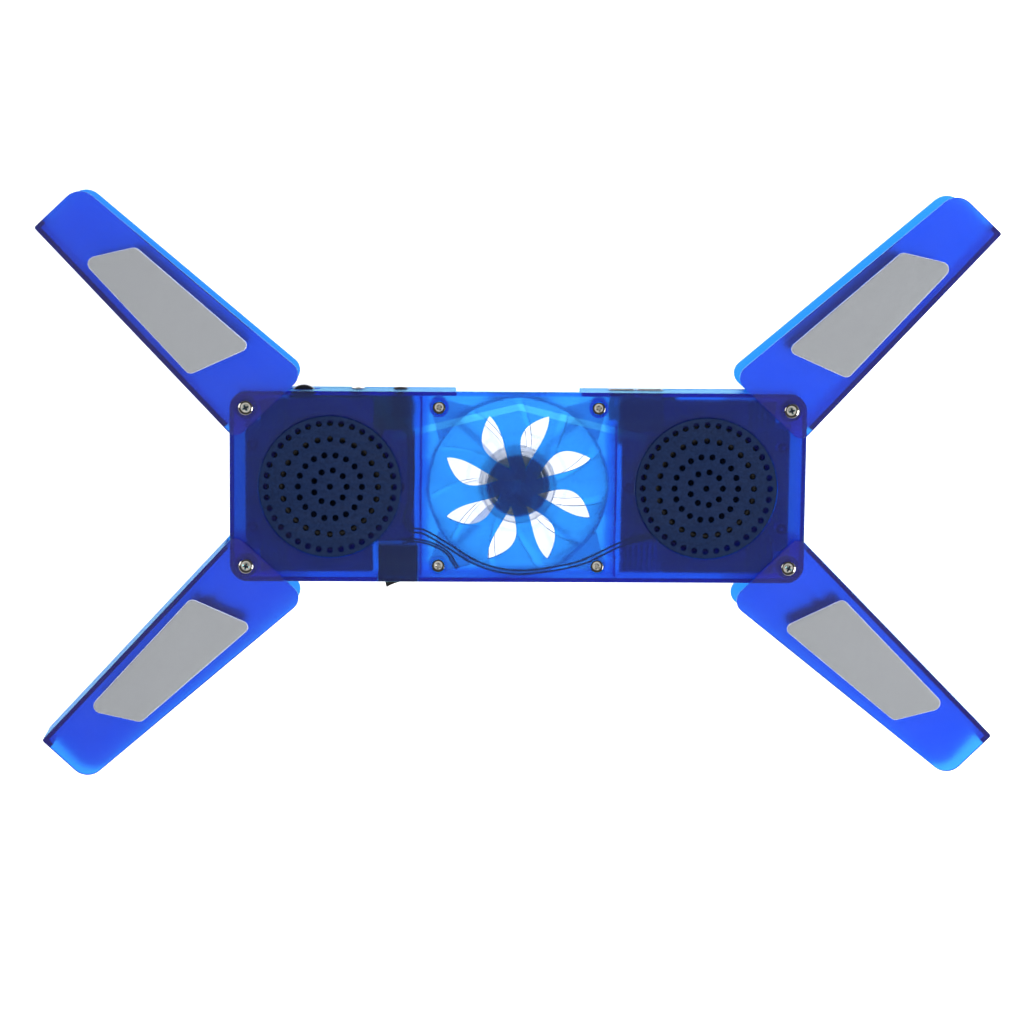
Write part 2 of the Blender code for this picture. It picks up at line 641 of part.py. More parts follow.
# name: (sideways widening, stations x, y, z)
LEADS = {
    "link_lead": (2.7, [
        (-55, 28.0, 10.3), (-54, 27.9, 16.5), (-50.6, 26.3, 21.4), (-48.3, 19, 22.6),
        (-48.2, -6, 22.6), (-50.3, -14.0, 22.6), (-48.2, -19.6, 22.6), (-42, -21.0, 22.6),
        (-31, -27.5, 22.6), (-21.5, -33.4, 22.6), (-10, -37.8, 22.6), (1.2, -39.2, 22.6),
        (13, -38.0, 22.6), (25, -35.6, 22.6), (34, -32.4, 22.6), (46.5, -26.3, 22.6),
        (55, -23.6, 22.4), (61.5, -22.0, 22.2)]),
    "fan_lead": (2.0, [
        (-27, -37.4, 22.2), (-32, -30.4, 22.4), (-38, -26.8, 22.3), (-44.2, -25.0, 22.2),
        (-48.5, -24.8, 21.9), (-52.2, -25.6, 21.7)]),
    "speaker_lead_left": (1.8, [
        (-62, 29.6, 10.3), (-61.8, 29.6, 15.5), (-61.4, 28.8, 20.0), (-61.2, 26.0, 21.9),
        (-62.6, 21.9, 22.0)]),
}


def smooth_path(stations):
    """Catmull-Rom curve through the stations, with one extra point in each gap."""
    points = [Vector(station) for station in stations]
    padded = [points[0]] + points + [points[-1]]
    path = []
    for before, start, end, after in zip(padded, padded[1:], padded[2:], padded[3:]):
        for part in (0.0, 0.5):
            path.append(0.5 * (2 * start + (end - before) * part
                               + (2 * before - 5 * start + 4 * end - after) * part * part
                               + (3 * start - before - 3 * end + after) * part ** 3))
    return path + [points[-1]]


def build_lead(name, widening, stations):
    """Flattened wire along a smooth path."""
    path = smooth_path(stations)
    solid = bmesh.new()
    rings = []
    for k, point in enumerate(path):
        ahead = (path[min(k + 1, len(path) - 1)] - path[max(k - 1, 0)]).normalized()
        side = ahead.cross(Vector((0, 0, 1))).normalized()
        rise = side.cross(ahead).normalized()
        ring = []
        for across, height in circle(LEAD_R, LEAD_SIDES):
            ring.append(solid.verts.new((point + side * (widening * across)
                                         + rise * height) * MM))
        rings.append(ring)
    for one, two in zip(rings, rings[1:]):
        join_loops(solid, one, two)
    solid.faces.new(rings[0])
    solid.faces.new(rings[-1])
    make(name, solid, WIRE)


# ------------------------------------------------------------------ arms
# An arm is drawn with its pivot at the origin, x along it and y across it.
# swing from folded to open; every arm stands at its own angle
ARM_OPEN_DEG = {"rear_left": 133.4, "rear_right": 133.0,
                "front_left": 132.8, "front_right": 134.7}
ARM_LOW_T, ARM_TOP_T, ARM_WALL = 2.0, 2.2, 2.2
ARM_EDGE = 0.4
ARM_TIP = 121.8
ARM_OUTER = -13.26              # outer edge
ARM_CORNERS = [(-7.2, ARM_OUTER), (ARM_TIP, ARM_OUTER), (ARM_TIP, 14.5), (-7.2, 29.6)]
ARM_CORNER_RADII = (4.5, 1.2, 8.5, 6.0)
ARM_WALL_START = 0.2            # the side wall stops against the body
ARM_RETURN_IN = -8.2            # the side wall turns the tip corner as far as this
ARM_INSIDE = [                  # space cleared between the lower and upper sheets
    (-20, -25), (ARM_WALL_START, -25), (ARM_WALL_START, ARM_OUTER + ARM_WALL),
    (ARM_TIP - ARM_WALL, ARM_OUTER + ARM_WALL), (ARM_TIP - ARM_WALL, ARM_RETURN_IN),
    (140, ARM_RETURN_IN), (140, 45), (-20, 45)]
ARM_HOLE_R = 2.9
PAD_CORNERS = [(97.2, -7.6), (84.8, 13.7), (18.0, 20.6), (27.9, -8.0)]
PAD_RADII = (3.2, 3.6, 2.6, 3.0)
PAD_POCKET, PAD_RISE, PAD_EDGE = 0.6, 1.1, 0.35
FOOT_CORNERS = [(95.6, -6.3), (83.9, 12.4), (20.0, 19.0), (28.6, -6.6)]
FOOT_POCKET, FOOT_EDGE = 0.5, 0.3


def build_arm(word, side_x, side_y):
    """Arm with its top pad and foot, all turned to the arm's open angle."""
    def handed(points):
        """Mirror the outline for the arms of the other hand."""
        return points if side_x * side_y > 0 else [(x, -y) for x, y in reversed(points)]

    arm_shape = rounded(ARM_CORNERS, ARM_CORNER_RADII)
    pad_shape = rounded(PAD_CORNERS, PAD_RADII, 3)
    foot_shape = rounded(FOOT_CORNERS, 2.5, 3)
    outline, inset = handed(arm_shape), handed(shrink(arm_shape, ARM_EDGE))
    arm = stack("arm_" + word, [(inset, ARM_LOW), (outline, ARM_LOW + ARM_EDGE),
                                (outline, ARM_TOP - ARM_EDGE), (inset, ARM_TOP)], BLUE)
    cut(arm,
        tool(handed(ARM_INSIDE), (ARM_LOW + ARM_LOW_T, ARM_TOP - ARM_TOP_T)),
        disc(ARM_HOLE_R, 14, (0, 0), (ARM_LOW - OVER, ARM_TOP + OVER)),
        tool(handed(shrink(pad_shape, -GAP)), (ARM_TOP - PAD_POCKET, ARM_TOP + 2)),
        tool(handed(shrink(foot_shape, -GAP)), (ARM_LOW - 2, ARM_LOW + FOOT_POCKET)))

    pad_top = ARM_TOP + PAD_RISE
    pad = stack("top_pad_" + word, [(handed(pad_shape), ARM_TOP - PAD_POCKET + GAP),
                                    (handed(pad_shape), pad_top - PAD_EDGE),
                                    (handed(shrink(pad_shape, PAD_EDGE)), pad_top)], RUBBER)
    foot = stack("foot_" + word, [(handed(shrink(foot_shape, FOOT_EDGE)), 0.0),
                                  (handed(foot_shape), FOOT_EDGE),
                                  (handed(foot_shape), ARM_LOW + FOOT_POCKET - GAP)],
                 DARK_RUBBER)
    swing = math.radians(ARM_OPEN_DEG[word])
    heading = math.atan2(side_y * math.sin(swing), -side_x * math.cos(swing))
    hinge = anchor("hinge_" + word, *PIVOTS[word])
    for piece in (arm, pad, foot):
        attach(piece, hinge, heading)


def build_screws(word):
    """Pivot screws above and below the arm, and the cover screw into the fan frame."""
    seat = ARM_TOP + GAP
    turned("pivot_screw_top_" + word,
           [(0, 12.5), (1.1, 13.2), (1.1, seat), (3.4, seat), (3.2, seat + 0.8),
            (0, seat + 1.3)], 12, STEEL, PIVOTS[word])
    seat = ARM_LOW - GAP
    turned("pivot_screw_bottom_" + word,
           [(0, 12.0), (1.1, 11.3), (1.1, seat), (3.4, seat), (3.2, seat - 0.6),
            (0, seat - 1.0)], 12, STEEL, PIVOTS[word])
    seat = BODY_TOP - 1.0
    turned("cover_screw_" + word,
           [(0, 15.2), (1.25, 16.2), (1.25, seat), (2.95, seat), (2.7, seat + 0.6),
            (0, seat + 0.95)], 12, STEEL, FAN_SCREWS[word])


# ------------------------------------------------------------------ assembly
body_frame = anchor("body_frame", 0, 0)
build_bottom_cover()
build_top_cover()
for speaker_word, speaker_side in SPEAKER_SIDES.items():
    build_speaker(speaker_word, speaker_side)
build_fan_frame()
build_fan_guard()
build_rotor()
build_motor()
build_boards()
for port_word, port_x in USB_X.items():
    build_usb_port(port_word, port_x)
for jack_name, jack_x in JACK_X.items():
    build_jack(jack_name, jack_x)
build_volume_control()
build_rocker()
for lead_name, (lead_widening, lead_stations) in LEADS.items():
    build_lead(lead_name, lead_widening, lead_stations)
for corner_word, corner_sides in CORNERS.items():
    build_arm(corner_word, *corner_sides)
    build_screws(corner_word)

# smooth shading; every piece without an axis of its own belongs to the body
for obj in bpy.data.objects:
    if obj.type == "MESH":
        obj.data.shade_smooth()
        obj.data.set_sharp_from_angle(angle=math.radians(35))
        if obj.parent is None:
            obj.parent = body_frame
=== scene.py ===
"""Folding laptop cooling pad: translucent blue shells, clear fan, dark loudspeakers.

The body lies flat on z = 0 with the fan at the origin. +X is right, +Y is the rear (sockets),
-Y the front (rocker switch), and one swung-out arm hangs on a pivot at each corner. Lengths are
millimetres, turned into metres by MM as vertices are made. Shader lengths are metres.
"""

import json
import math
import random

import bmesh
import bpy
from mathutils import Matrix, Vector
from mathutils.geometry import tessellate_polygon


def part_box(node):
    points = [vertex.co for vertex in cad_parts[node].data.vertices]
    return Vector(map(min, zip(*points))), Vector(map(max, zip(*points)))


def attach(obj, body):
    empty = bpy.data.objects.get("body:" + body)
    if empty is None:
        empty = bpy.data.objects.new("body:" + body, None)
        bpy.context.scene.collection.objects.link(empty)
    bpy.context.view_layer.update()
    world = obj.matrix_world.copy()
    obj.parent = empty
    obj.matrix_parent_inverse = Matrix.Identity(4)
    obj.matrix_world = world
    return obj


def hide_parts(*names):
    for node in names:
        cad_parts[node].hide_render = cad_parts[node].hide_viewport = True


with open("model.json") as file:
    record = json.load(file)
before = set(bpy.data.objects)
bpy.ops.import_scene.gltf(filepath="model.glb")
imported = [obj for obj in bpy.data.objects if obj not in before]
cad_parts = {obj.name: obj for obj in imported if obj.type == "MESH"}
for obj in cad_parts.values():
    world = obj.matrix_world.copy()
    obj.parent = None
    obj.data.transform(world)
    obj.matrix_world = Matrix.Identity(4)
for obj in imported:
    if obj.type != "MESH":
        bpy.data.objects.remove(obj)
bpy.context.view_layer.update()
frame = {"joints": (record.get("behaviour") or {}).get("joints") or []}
MM = 0.001
random.seed(7)


def span(node):
    """Lowest and highest corner of a CAD node, in millimetres."""
    lo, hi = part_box(node)
    return lo * 1000.0, hi * 1000.0


def mid_x(node):
    return sum(corner.x for corner in span(node)) / 2


# ------------------------------------------------------------------ driving dimensions
JOINTS = {joint["name"]: joint for joint in frame["joints"]}
CORNERS = {"rear_left": (-1, 1), "rear_right": (1, 1), "front_left": (-1, -1), "front_right": (1, -1)}
PIVOT = {word: Vector(JOINTS["fold_" + word]["pos_m"]) * 1000.0 for word in CORNERS}
SWING = {word: JOINTS["fold_" + word]["range_deg"][1] for word in CORNERS}
WHEEL = Vector(JOINTS["volume_turn"]["pos_m"]) * 1000.0
ROCKER = Vector(JOINTS["rocker_tilt"]["pos_m"]) * 1000.0

top_lo, top_hi = span("top_cover")
arm_lo, arm_hi = span("arm_rear_right")
HALF_X, HALF_Y = top_hi.x, top_hi.y
BODY_RADIUS, WALL = 8.0, 2.0
TRAY_EDGE, LID_EDGE = 8.7, top_lo.z         # where the two shells meet
BODY_BASE, BODY_TOP = 3.7, arm_hi.z - 2.5
ARM_BASE, ARM_TOP = arm_lo.z, arm_hi.z
PIVOT_BORE = 1.45

SPEAKER_X = {word: sum(span("speaker_grille_" + word), Vector()).x / 2 for word in ("left", "right")}
SPEAKER_HOLE = 32.35
FAN_SCREW = mid_x("cover_screw_rear_right")  # distance from centre, the same in x and y
USB_X = {word: mid_x("usb_port_" + word) for word in ("inner", "outer")}
JACK_X = {word: mid_x(word) for word in ("audio_jack", "power_jack")}
JACK_Z = 13.4
VENT_HALF = 28.2                            # gap in the middle of the rear wall


# ------------------------------------------------------------------ outlines
def circle(x, y, radius, count, phase=0.0):
    return [(x + radius * math.cos(2 * math.pi * k / count + phase),
             y + radius * math.sin(2 * math.pi * k / count + phase)) for k in range(count)]


def rounded(points, radii, steps=8):
    """Polygon with filleted corners; radii is one number or one per corner, 0 keeps it sharp."""
    out = []
    count = len(points)
    for k in range(count):
        corner = Vector(points[k])
        back = (Vector(points[k - 1]) - corner).normalized()
        ahead = (Vector(points[(k + 1) % count]) - corner).normalized()
        radius = radii[k] if hasattr(radii, "__len__") else radii
        if radius <= 0:
            out.append((corner.x, corner.y))
            continue
        half = back.angle(ahead) / 2
        centre = corner + (back + ahead).normalized() * (radius / math.sin(half))
        start = corner + back * (radius / math.tan(half)) - centre
        end = corner + ahead * (radius / math.tan(half)) - centre
        first = math.atan2(start.y, start.x)
        turn = math.atan2(end.y, end.x) - first
        turn = (turn + math.pi) % (2 * math.pi) - math.pi
        for s in range(steps + 1):
            angle = first + turn * s / steps
            out.append((centre.x + radius * math.cos(angle), centre.y + radius * math.sin(angle)))
    return out


def rectangle(x0, y0, x1, y1, corner=0.0, corner_steps=4):
    return rounded([(x0, y0), (x1, y0), (x1, y1), (x0, y1)], corner, corner_steps)


def flip(points, hand):
    """Mirrors an outline in y for left-handed arms."""
    return points if hand > 0 else [(x, -y) for x, y in reversed(points)]


def shrink(points, amount):
    """Moves an outline inward by amount, outward if negative."""
    out = []
    count = len(points)
    ahead = [points[(k + 1) % count] for k in range(count)]
    area = sum(p[0] * q[1] - q[0] * p[1] for p, q in zip(points, ahead))
    sign = 1 if area > 0 else -1
    for k in range(count):
        here = Vector(points[k])
        before = (here - Vector(points[k - 1])).normalized()
        after = (Vector(ahead[k]) - here).normalized()
        normal_before = Vector((-before.y, before.x)) * sign
        normal_after = Vector((-after.y, after.x)) * sign
        mitre = normal_before + normal_after
        mitre = mitre.normalized() if mitre.length > 1e-6 else normal_after
        moved = here + mitre * (amount / max(mitre.dot(normal_after), 0.45))
        out.append((moved.x, moved.y))
    return out


def turn_points(points, angle, centre_x=0.0):
    cos, sin = math.cos(angle), math.sin(angle)
    return [(centre_x + x * cos - y * sin, x * sin + y * cos) for x, y in points]


# ------------------------------------------------------------------ meshes
def make(build, mat=None, recalc=True):
    if recalc:
        bmesh.ops.recalc_face_normals(build, faces=build.faces)
    mesh = bpy.data.meshes.new("part")
    build.to_mesh(mesh)
    build.free()
    obj = bpy.data.objects.new("part", mesh)
    bpy.context.scene.collection.objects.link(obj)
    if mat:
        mesh.materials.append(mat)
    return obj


def add_ring(build, points, z):
    return [build.verts.new((x * MM, y * MM, z * MM)) for x, y in points]


def bridge(build, low, high):
    """Band of quads between two closed rings of equal count."""
    for i in range(len(low)):
        j = (i + 1) % len(low)
        build.faces.new((low[i], low[j], high[j], high[i]))


def slab(outer, z0, z1, edge=0.0, steps=0, mat=None, holes=(), hole_edge=None):
    """Plate with through holes; the outer edge is rounded by edge, the rims by hole_edge."""
    build = bmesh.new()
    rings_of = []
    for k, loop in enumerate([outer] + list(holes)):
        sign = 1 if k == 0 else -1
        radius = edge if k == 0 or hole_edge is None else hole_edge
        radius = min(radius, (z1 - z0) * 0.49)
        quarter = [(0.0, 0.0)]              # inset and rise along the rounded edge
        if steps:
            angles = [math.pi / 2 * s / steps for s in range(steps + 1)]
            quarter = [(radius * (1 - math.sin(a)), radius * (1 - math.cos(a))) for a in angles]
        levels = [(inset, z0 + rise) for inset, rise in quarter]
        levels += [(inset, z1 - rise) for inset, rise in reversed(quarter)]
        rings = [add_ring(build, shrink(loop, inset * sign) if inset > 1e-9 else loop, z)
                 for inset, z in levels]
        for low, high in zip(rings, rings[1:]):
            bridge(build, low, high)
        rings_of.append(rings)
    for which in (0, -1):
        flat = [vert for rings in rings_of for vert in rings[which]]
        tris = tessellate_polygon([[Vector((vert.co.x * 1000, vert.co.y * 1000, 0))
                                    for vert in rings[which]] for rings in rings_of])
        for tri in tris:
            build.faces.new([flat[i] for i in tri])
    return make(build, mat)


def block(x0, y0, x1, y1, z0, z1, corner=0.0, corner_steps=4, **kind):
    return slab(rectangle(x0, y0, x1, y1, corner, corner_steps), z0, z1, **kind)


def collar(x, y, outer, bore, z0, z1):
    """Plain upright sleeve; outer and bore are (radius, sides)."""
    return slab(circle(x, y, *outer), z0, z1, holes=[circle(x, y, *bore)])


def turned(profile, sides, mat=None, x=0.0, y=0.0):
    """Closed (radius, z) profile spun about the upright axis through x, y."""
    build = bmesh.new()
    rings = [add_ring(build, [(x, y)] if radius < 1e-6 else circle(x, y, radius, sides), z)
             for radius, z in profile]
    for low, high in zip(rings, rings[1:] + rings[:1]):
        if len(low) == len(high) == sides:
            bridge(build, low, high)
            continue
        if len(low) == len(high):
            continue
        for k in range(sides):
            j = (k + 1) % sides
            if len(low) == 1:
                build.faces.new((low[0], high[j], high[k]))
            else:
                build.faces.new((low[k], low[j], high[0]))
    return make(build, mat)


def smooth_path(points, steps):
    """Catmull-Rom curve through the points."""
    pts = [Vector(p) for p in points]
    path = []
    last = len(pts) - 1
    for k in range(last):
        p0, p1, p2, p3 = pts[max(k - 1, 0)], pts[k], pts[k + 1], pts[min(k + 2, last)]
        for s in range(steps):
            t = s / steps
            path.append(0.5 * ((2 * p1) + (p2 - p0) * t + (2 * p0 - 5 * p1 + 4 * p2 - p3) * t * t
                               + (3 * p1 - p0 - 3 * p2 + p3) * t ** 3))
    path.append(pts[-1])
    return path


def wire_ring(build, centre, side, up, radius, sides):
    angles = [2 * math.pi * i / sides for i in range(sides)]
    return [build.verts.new((centre + side * (radius * math.cos(a))
                             + up * (radius * math.sin(a))) * MM) for a in angles]


def add_wire(build, points, radius, shift):
    """Round wire along a smooth path, moved sideways by shift."""
    path = smooth_path(points, steps=8)
    rings = []
    for k, point in enumerate(path):
        ahead = (path[min(k + 1, len(path) - 1)] - path[max(k - 1, 0)]).normalized()
        side = ahead.cross(Vector((0, 0, 1)))
        side = side.normalized() if side.length > 1e-6 else Vector((1, 0, 0))
        up = side.cross(ahead).normalized()
        rings.append(wire_ring(build, point + side * shift, side, up, radius, sides=12))
    for low, high in zip(rings, rings[1:]):
        bridge(build, low, high)
    build.faces.new(rings[0])
    build.faces.new(rings[-1])


def combine(target, tools, operation):
    for tool in tools:
        mod = target.modifiers.new(operation, "BOOLEAN")
        mod.operation = operation
        mod.object = tool
        mod.solver = "EXACT"
        graph = bpy.context.evaluated_depsgraph_get()
        graph.update()
        mesh = bpy.data.meshes.new_from_object(target.evaluated_get(graph))
        target.modifiers.clear()
        old = target.data
        target.data = mesh
        bpy.data.meshes.remove(old)
        bpy.data.objects.remove(tool, do_unlink=True)
    return target


def cut(target, *tools):
    return combine(target, tools, "DIFFERENCE")


def fuse(target, *tools):
    return combine(target, tools, "UNION")


def merge(parts):
    """Puts several closed shells into one object, each keeping its own material."""
    build = bmesh.new()
    mats = []
    for part in parts:
        start = len(build.faces)
        slots = []
        for mat in part.data.materials:
            if mat not in mats:
                mats.append(mat)
            slots.append(mats.index(mat))
        build.from_mesh(part.data)
        build.faces.ensure_lookup_table()
        for face in build.faces[start:]:
            face.material_index = slots[face.material_index]
        bpy.data.objects.remove(part, do_unlink=True)
    obj = make(build, recalc=False)
    for mat in mats:
        obj.data.materials.append(mat)
    return obj


def finish(obj, node, angle=32, body="body", name=None):
    """Cleans, shades and hands over a piece; one that stands for no CAD node gives a name."""
    obj.name = obj.data.name = name or node + "_mesh"
    build = bmesh.new()
    build.from_mesh(obj.data)
    bmesh.ops.remove_doubles(build, verts=build.verts, dist=1e-7)
    bmesh.ops.dissolve_degenerate(build, edges=build.edges, dist=1e-8)
    build.to_mesh(obj.data)
    build.free()
    obj.data.shade_smooth()
    obj.data.set_sharp_from_angle(angle=math.radians(angle))
    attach(obj, body)
    if node:
        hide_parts(node)


# ------------------------------------------------------------------ shader helpers
class Nodes:
    """Makes nodes and their links in one call; input i0 is by index, others by name."""

    def __init__(self, tree):
        self.tree = tree

    def feed(self, socket, value):
        if isinstance(value, bpy.types.NodeSocket):
            self.tree.links.new(value, socket)
        else:
            socket.default_value = value

    def add(self, kind, props=None, **inputs):
        node = self.tree.nodes.new(kind)
        for key, value in (props or {}).items():
            setattr(node, key, value)
        for key, value in inputs.items():
            by_index = key[0] == "i" and key[1:].isdigit()
            self.feed(node.inputs[int(key[1:]) if by_index else key.replace("_", " ")], value)
        return node

    def math(self, operation, a, b=0.0):
        return self.add("ShaderNodeMath", {"operation": operation}, i0=a, i1=b).outputs[0]

    def mix(self, fac, a, b):
        return self.add("ShaderNodeMix", {"data_type": "RGBA"}, i0=fac, i6=a, i7=b).outputs[2]

    def where(self):
        return self.add("ShaderNodeTexCoord").outputs["Object"]

    def noise(self, where, scale, detail=3.0, rough=0.5):
        return self.add("ShaderNodeTexNoise", Scale=scale, Detail=detail, Roughness=rough,
                        Vector=where).outputs["Fac"]

    def cells(self, where, scale):
        return self.add("ShaderNodeTexVoronoi", {"feature": "F1"}, Scale=scale,
                        Vector=where).outputs["Distance"]

    def bump(self, height, strength, distance):
        return self.add("ShaderNodeBump", Strength=strength, Distance=distance,
                        Height=height).outputs[0]

    def ramp(self, value, from_low, from_high, low, high, **props):
        return self.add("ShaderNodeMapRange", {"clamp": True, **props}, i0=value, i1=from_low,
                        i2=from_high, i3=low, i4=high).outputs[0]

    def spread(self, value, low, high):
        """Maps the busy middle of a 0..1 texture value to low..high."""
        return self.ramp(value, 0.3, 0.7, low, high)


def new_material(name):
    mat = bpy.data.materials.new(name)
    mat.use_nodes = True
    tree = mat.node_tree
    tree.nodes.clear()
    out = tree.nodes.new("ShaderNodeOutputMaterial")
    return mat, Nodes(tree), out


def rgb(red, green, blue):
    """sRGB bytes to a linear colour."""
    def linear(byte):
        value = byte / 255.0
        return value / 12.92 if value <= 0.04045 else ((value + 0.055) / 1.055) ** 2.4
    return (linear(red), linear(green), linear(blue), 1.0)


def see_through(nodes, out, seen, tint):
    """Camera and mirror rays meet the real shader; lamps and soft bounces pass as tinted light."""
    path = nodes.add("ShaderNodeLightPath")
    clear = nodes.add("ShaderNodeBsdfTransparent", Color=tint).outputs[0]
    soft = nodes.add("ShaderNodeMixShader", i0=path.outputs["Is Diffuse Ray"], i1=seen, i2=clear)
    lamp = nodes.add("ShaderNodeMixShader", i0=path.outputs["Is Shadow Ray"], i1=soft.outputs[0],
                     i2=clear)
    nodes.feed(out.inputs["Surface"], lamp.outputs[0])


# ------------------------------------------------------------------ materials
def blue_plastic(name, scatter, tint=(0.36, 0.80, 0.985), rough=0.28,
                 absorb=(900.0, 400.0, 88.0), ends=None):
    """Satin tinted moulding: scatter is its milky share, absorb its loss per metre in r, g, b."""
    red, green, blue = 0.36, 0.24, 0.60     # milky body colour
    mat, nodes, out = new_material(name)
    where = nodes.where()
    cloud = nodes.noise(where, scale=38.0, detail=4.0, rough=0.55)
    fine = nodes.noise(where, scale=700.0, detail=2.0)
    wear = nodes.noise(where, scale=110.0, detail=2.0)
    bump = nodes.bump(fine, strength=0.05, distance=0.00005)
    base = nodes.mix(nodes.spread(cloud, 0.0, 1.0), (red * 0.88, green * 0.85, blue * 0.95, 1),
                     (red, green, blue, 1))
    roughness = nodes.spread(wear, rough * 0.95, rough * 1.05)
    tinted = nodes.mix(nodes.spread(cloud, 0.0, 1.0), (tint[0], tint[1] * 0.985, tint[2], 1),
                       (tint[0], tint[1] * 1.015, tint[2], 1))
    if ends:        # painted shade: darker tint on the floor outside the two speaker bays, standing for the shadow of the end walls
        axes = nodes.add("ShaderNodeSeparateXYZ", i0=where).outputs
        out_there = nodes.math("GREATER_THAN", nodes.math("ABSOLUTE", axes[0]), 0.094)
        low_down = nodes.math("LESS_THAN", axes[2], (BODY_BASE + WALL + 0.2) * MM)
        tinted = nodes.mix(nodes.math("MULTIPLY", out_there, low_down), tinted, (*ends, 1))
    glass = nodes.add("ShaderNodeBsdfGlass", Color=tinted, Roughness=roughness, IOR=1.46, Normal=bump)
    milk = nodes.add("ShaderNodeBsdfDiffuse", Color=base, Roughness=0.4, Normal=bump)
    seen = nodes.add("ShaderNodeMixShader", i0=nodes.spread(cloud, scatter * 0.9, scatter * 1.1),
                     i1=glass.outputs[0], i2=milk.outputs[0])
    see_through(nodes, out, seen.outputs[0], (*tint, 1))
    density = max(absorb)
    volume = nodes.add("ShaderNodeVolumeAbsorption", Density=density,
                       Color=(*(1 - loss / density for loss in absorb), 1))
    nodes.feed(out.inputs["Volume"], volume.outputs[0])
    return mat


def clear_plastic(name, rough=0.03, tint=(0.93, 0.934, 0.942), haze=0.04):
    """Clear plastic with faint flow marks; haze is its milky share."""
    mat, nodes, out = new_material(name)
    where = nodes.where()
    cloud = nodes.noise(where, scale=120.0, detail=4.0, rough=0.6)
    flow = nodes.noise(where, scale=320.0, detail=3.0, rough=0.6)
    bump = nodes.bump(flow, strength=0.06, distance=0.00008)
    roughness = nodes.spread(cloud, rough * 0.7, rough * 1.8)
    glass = nodes.add("ShaderNodeBsdfGlass", Color=(*tint, 1), Roughness=roughness, IOR=1.49,
                      Normal=bump)
    milk = nodes.add("ShaderNodeBsdfDiffuse", Color=(0.78, 0.80, 0.83, 1), Roughness=0.3)
    seen = nodes.add("ShaderNodeMixShader", i0=nodes.spread(cloud, haze * 0.4, haze * 1.6),
                     i1=glass.outputs[0], i2=milk.outputs[0])
    see_through(nodes, out, seen.outputs[0], (*tint, 1))
    return mat


def solid(name, low, high, rough, scale, bump, depth=0.00005, metal=0.0, extra=None, spec=0.5):
    """Opaque surface: grain between two sRGB tones at scale, bump depth in metres."""
    mat, nodes, out = new_material(name)
    low, high = rgb(*low), rgb(*high)
    where = nodes.where()
    grain = nodes.noise(where, scale, detail=4.0, rough=0.6)
    broad = nodes.noise(where, scale * 0.08)
    colour = nodes.mix(nodes.spread(grain, 0.0, 1.0), low, high)
    colour = nodes.mix(nodes.math("MULTIPLY", nodes.spread(broad, 0.0, 1.0), 0.18), colour, low)
    if extra:
        colour = extra(nodes, where, colour)
    normal = nodes.bump(grain, strength=bump, distance=depth)
    bsdf = nodes.add("ShaderNodeBsdfPrincipled", Base_Color=colour, Metallic=metal,
                     Roughness=nodes.spread(broad, *rough), IOR=1.46, Normal=normal,
                     Specular_IOR_Level=spec)
    nodes.feed(out.inputs["Surface"], bsdf.outputs[0])
    return mat


def rubber_specks(nodes, where, colour):
    """Fine light and dark flecks of a cut foam-rubber sheet."""
    hit = nodes.math("LESS_THAN", nodes.cells(where, scale=1500.0), 0.16)
    colour = nodes.mix(nodes.math("MULTIPLY", hit, 0.3), colour, rgb(132, 134, 138))
    pale = nodes.math("GREATER_THAN", nodes.noise(where, scale=1900.0, detail=2.0), 0.66)
    return nodes.mix(nodes.math("MULTIPLY", pale, 0.3), colour, rgb(182, 185, 190))


def winding_groove_shade(nodes, where, colour):
    """Dark bands between turns of wire: painted shade in the grooves."""
    bands = nodes.add("ShaderNodeTexWave", {"wave_type": "BANDS", "bands_direction": "Z"},
                      Scale=900.0, Distortion=1.5, Vector=where).outputs["Fac"]
    return nodes.mix(bands, colour, rgb(92, 22, 14))


def trace_lines(nodes, where, colour):
    """Copper tracks under the solder mask and small pale pads."""
    brick = nodes.add("ShaderNodeTexBrick", {"offset": 0.4}, Scale=190.0, Vector=where,
                      Mortar_Size=0.03)
    colour = nodes.mix(nodes.math("MULTIPLY", brick.outputs["Fac"], 0.5), colour, rgb(58, 128, 70))
    dots = nodes.cells(where, scale=260.0)
    return nodes.mix(nodes.math("LESS_THAN", dots, 0.12), colour, rgb(188, 182, 160))


COVER = dict(tint=(0.36, 0.86, 0.99), absorb=(900.0, 400.0, 58.0), scatter=0.035)
BLUE_TOP = blue_plastic("blue_cover_plastic", **COVER)
# its ends colour paints shade onto the tray floor outside the speaker bays
BLUE_BASE = blue_plastic("blue_base_plastic", **COVER, ends=(0.42, 0.56, 0.70))
BLUE_ARM = blue_plastic("blue_arm_plastic", scatter=0.075)
BLUE_DARK = blue_plastic("blue_shelf_plastic", tint=(0.26, 0.36, 0.52), scatter=0.10, rough=0.3)
CLEAR = clear_plastic("clear_fan_plastic")
CLEAR_GUARD = clear_plastic("clear_guard_plastic", rough=0.06, tint=(0.97, 0.973, 0.98), haze=0.01)
# the frame's grey-blue tint is painted shade that darkens the ring round the duct and the screw ears
CLEAR_FRAME = clear_plastic("clear_frame_plastic", rough=0.16, tint=(0.70, 0.75, 0.85), haze=0.06)
CLEAR_HUB = clear_plastic("clear_hub_plastic", rough=0.14, tint=(0.79, 0.80, 0.82), haze=0.08)
NAVY = solid("grille_navy", (6, 27, 64), (12, 39, 82), rough=(0.45, 0.62), scale=700.0,
             bump=0.35, depth=0.00008, spec=0.2)
INDIGO = solid("tray_indigo", (14, 12, 84), (24, 20, 108), rough=(0.4, 0.55), scale=160.0,
               bump=0.15, depth=0.0001, spec=0.35)
BLACK = solid("black_moulding", (12, 12, 14), (26, 26, 29), rough=(0.35, 0.5), scale=900.0, bump=0.3)
BLACK_GLOSS = solid("black_gloss_moulding", (10, 10, 11), (20, 20, 22), rough=(0.18, 0.3),
                    scale=600.0, bump=0.08)
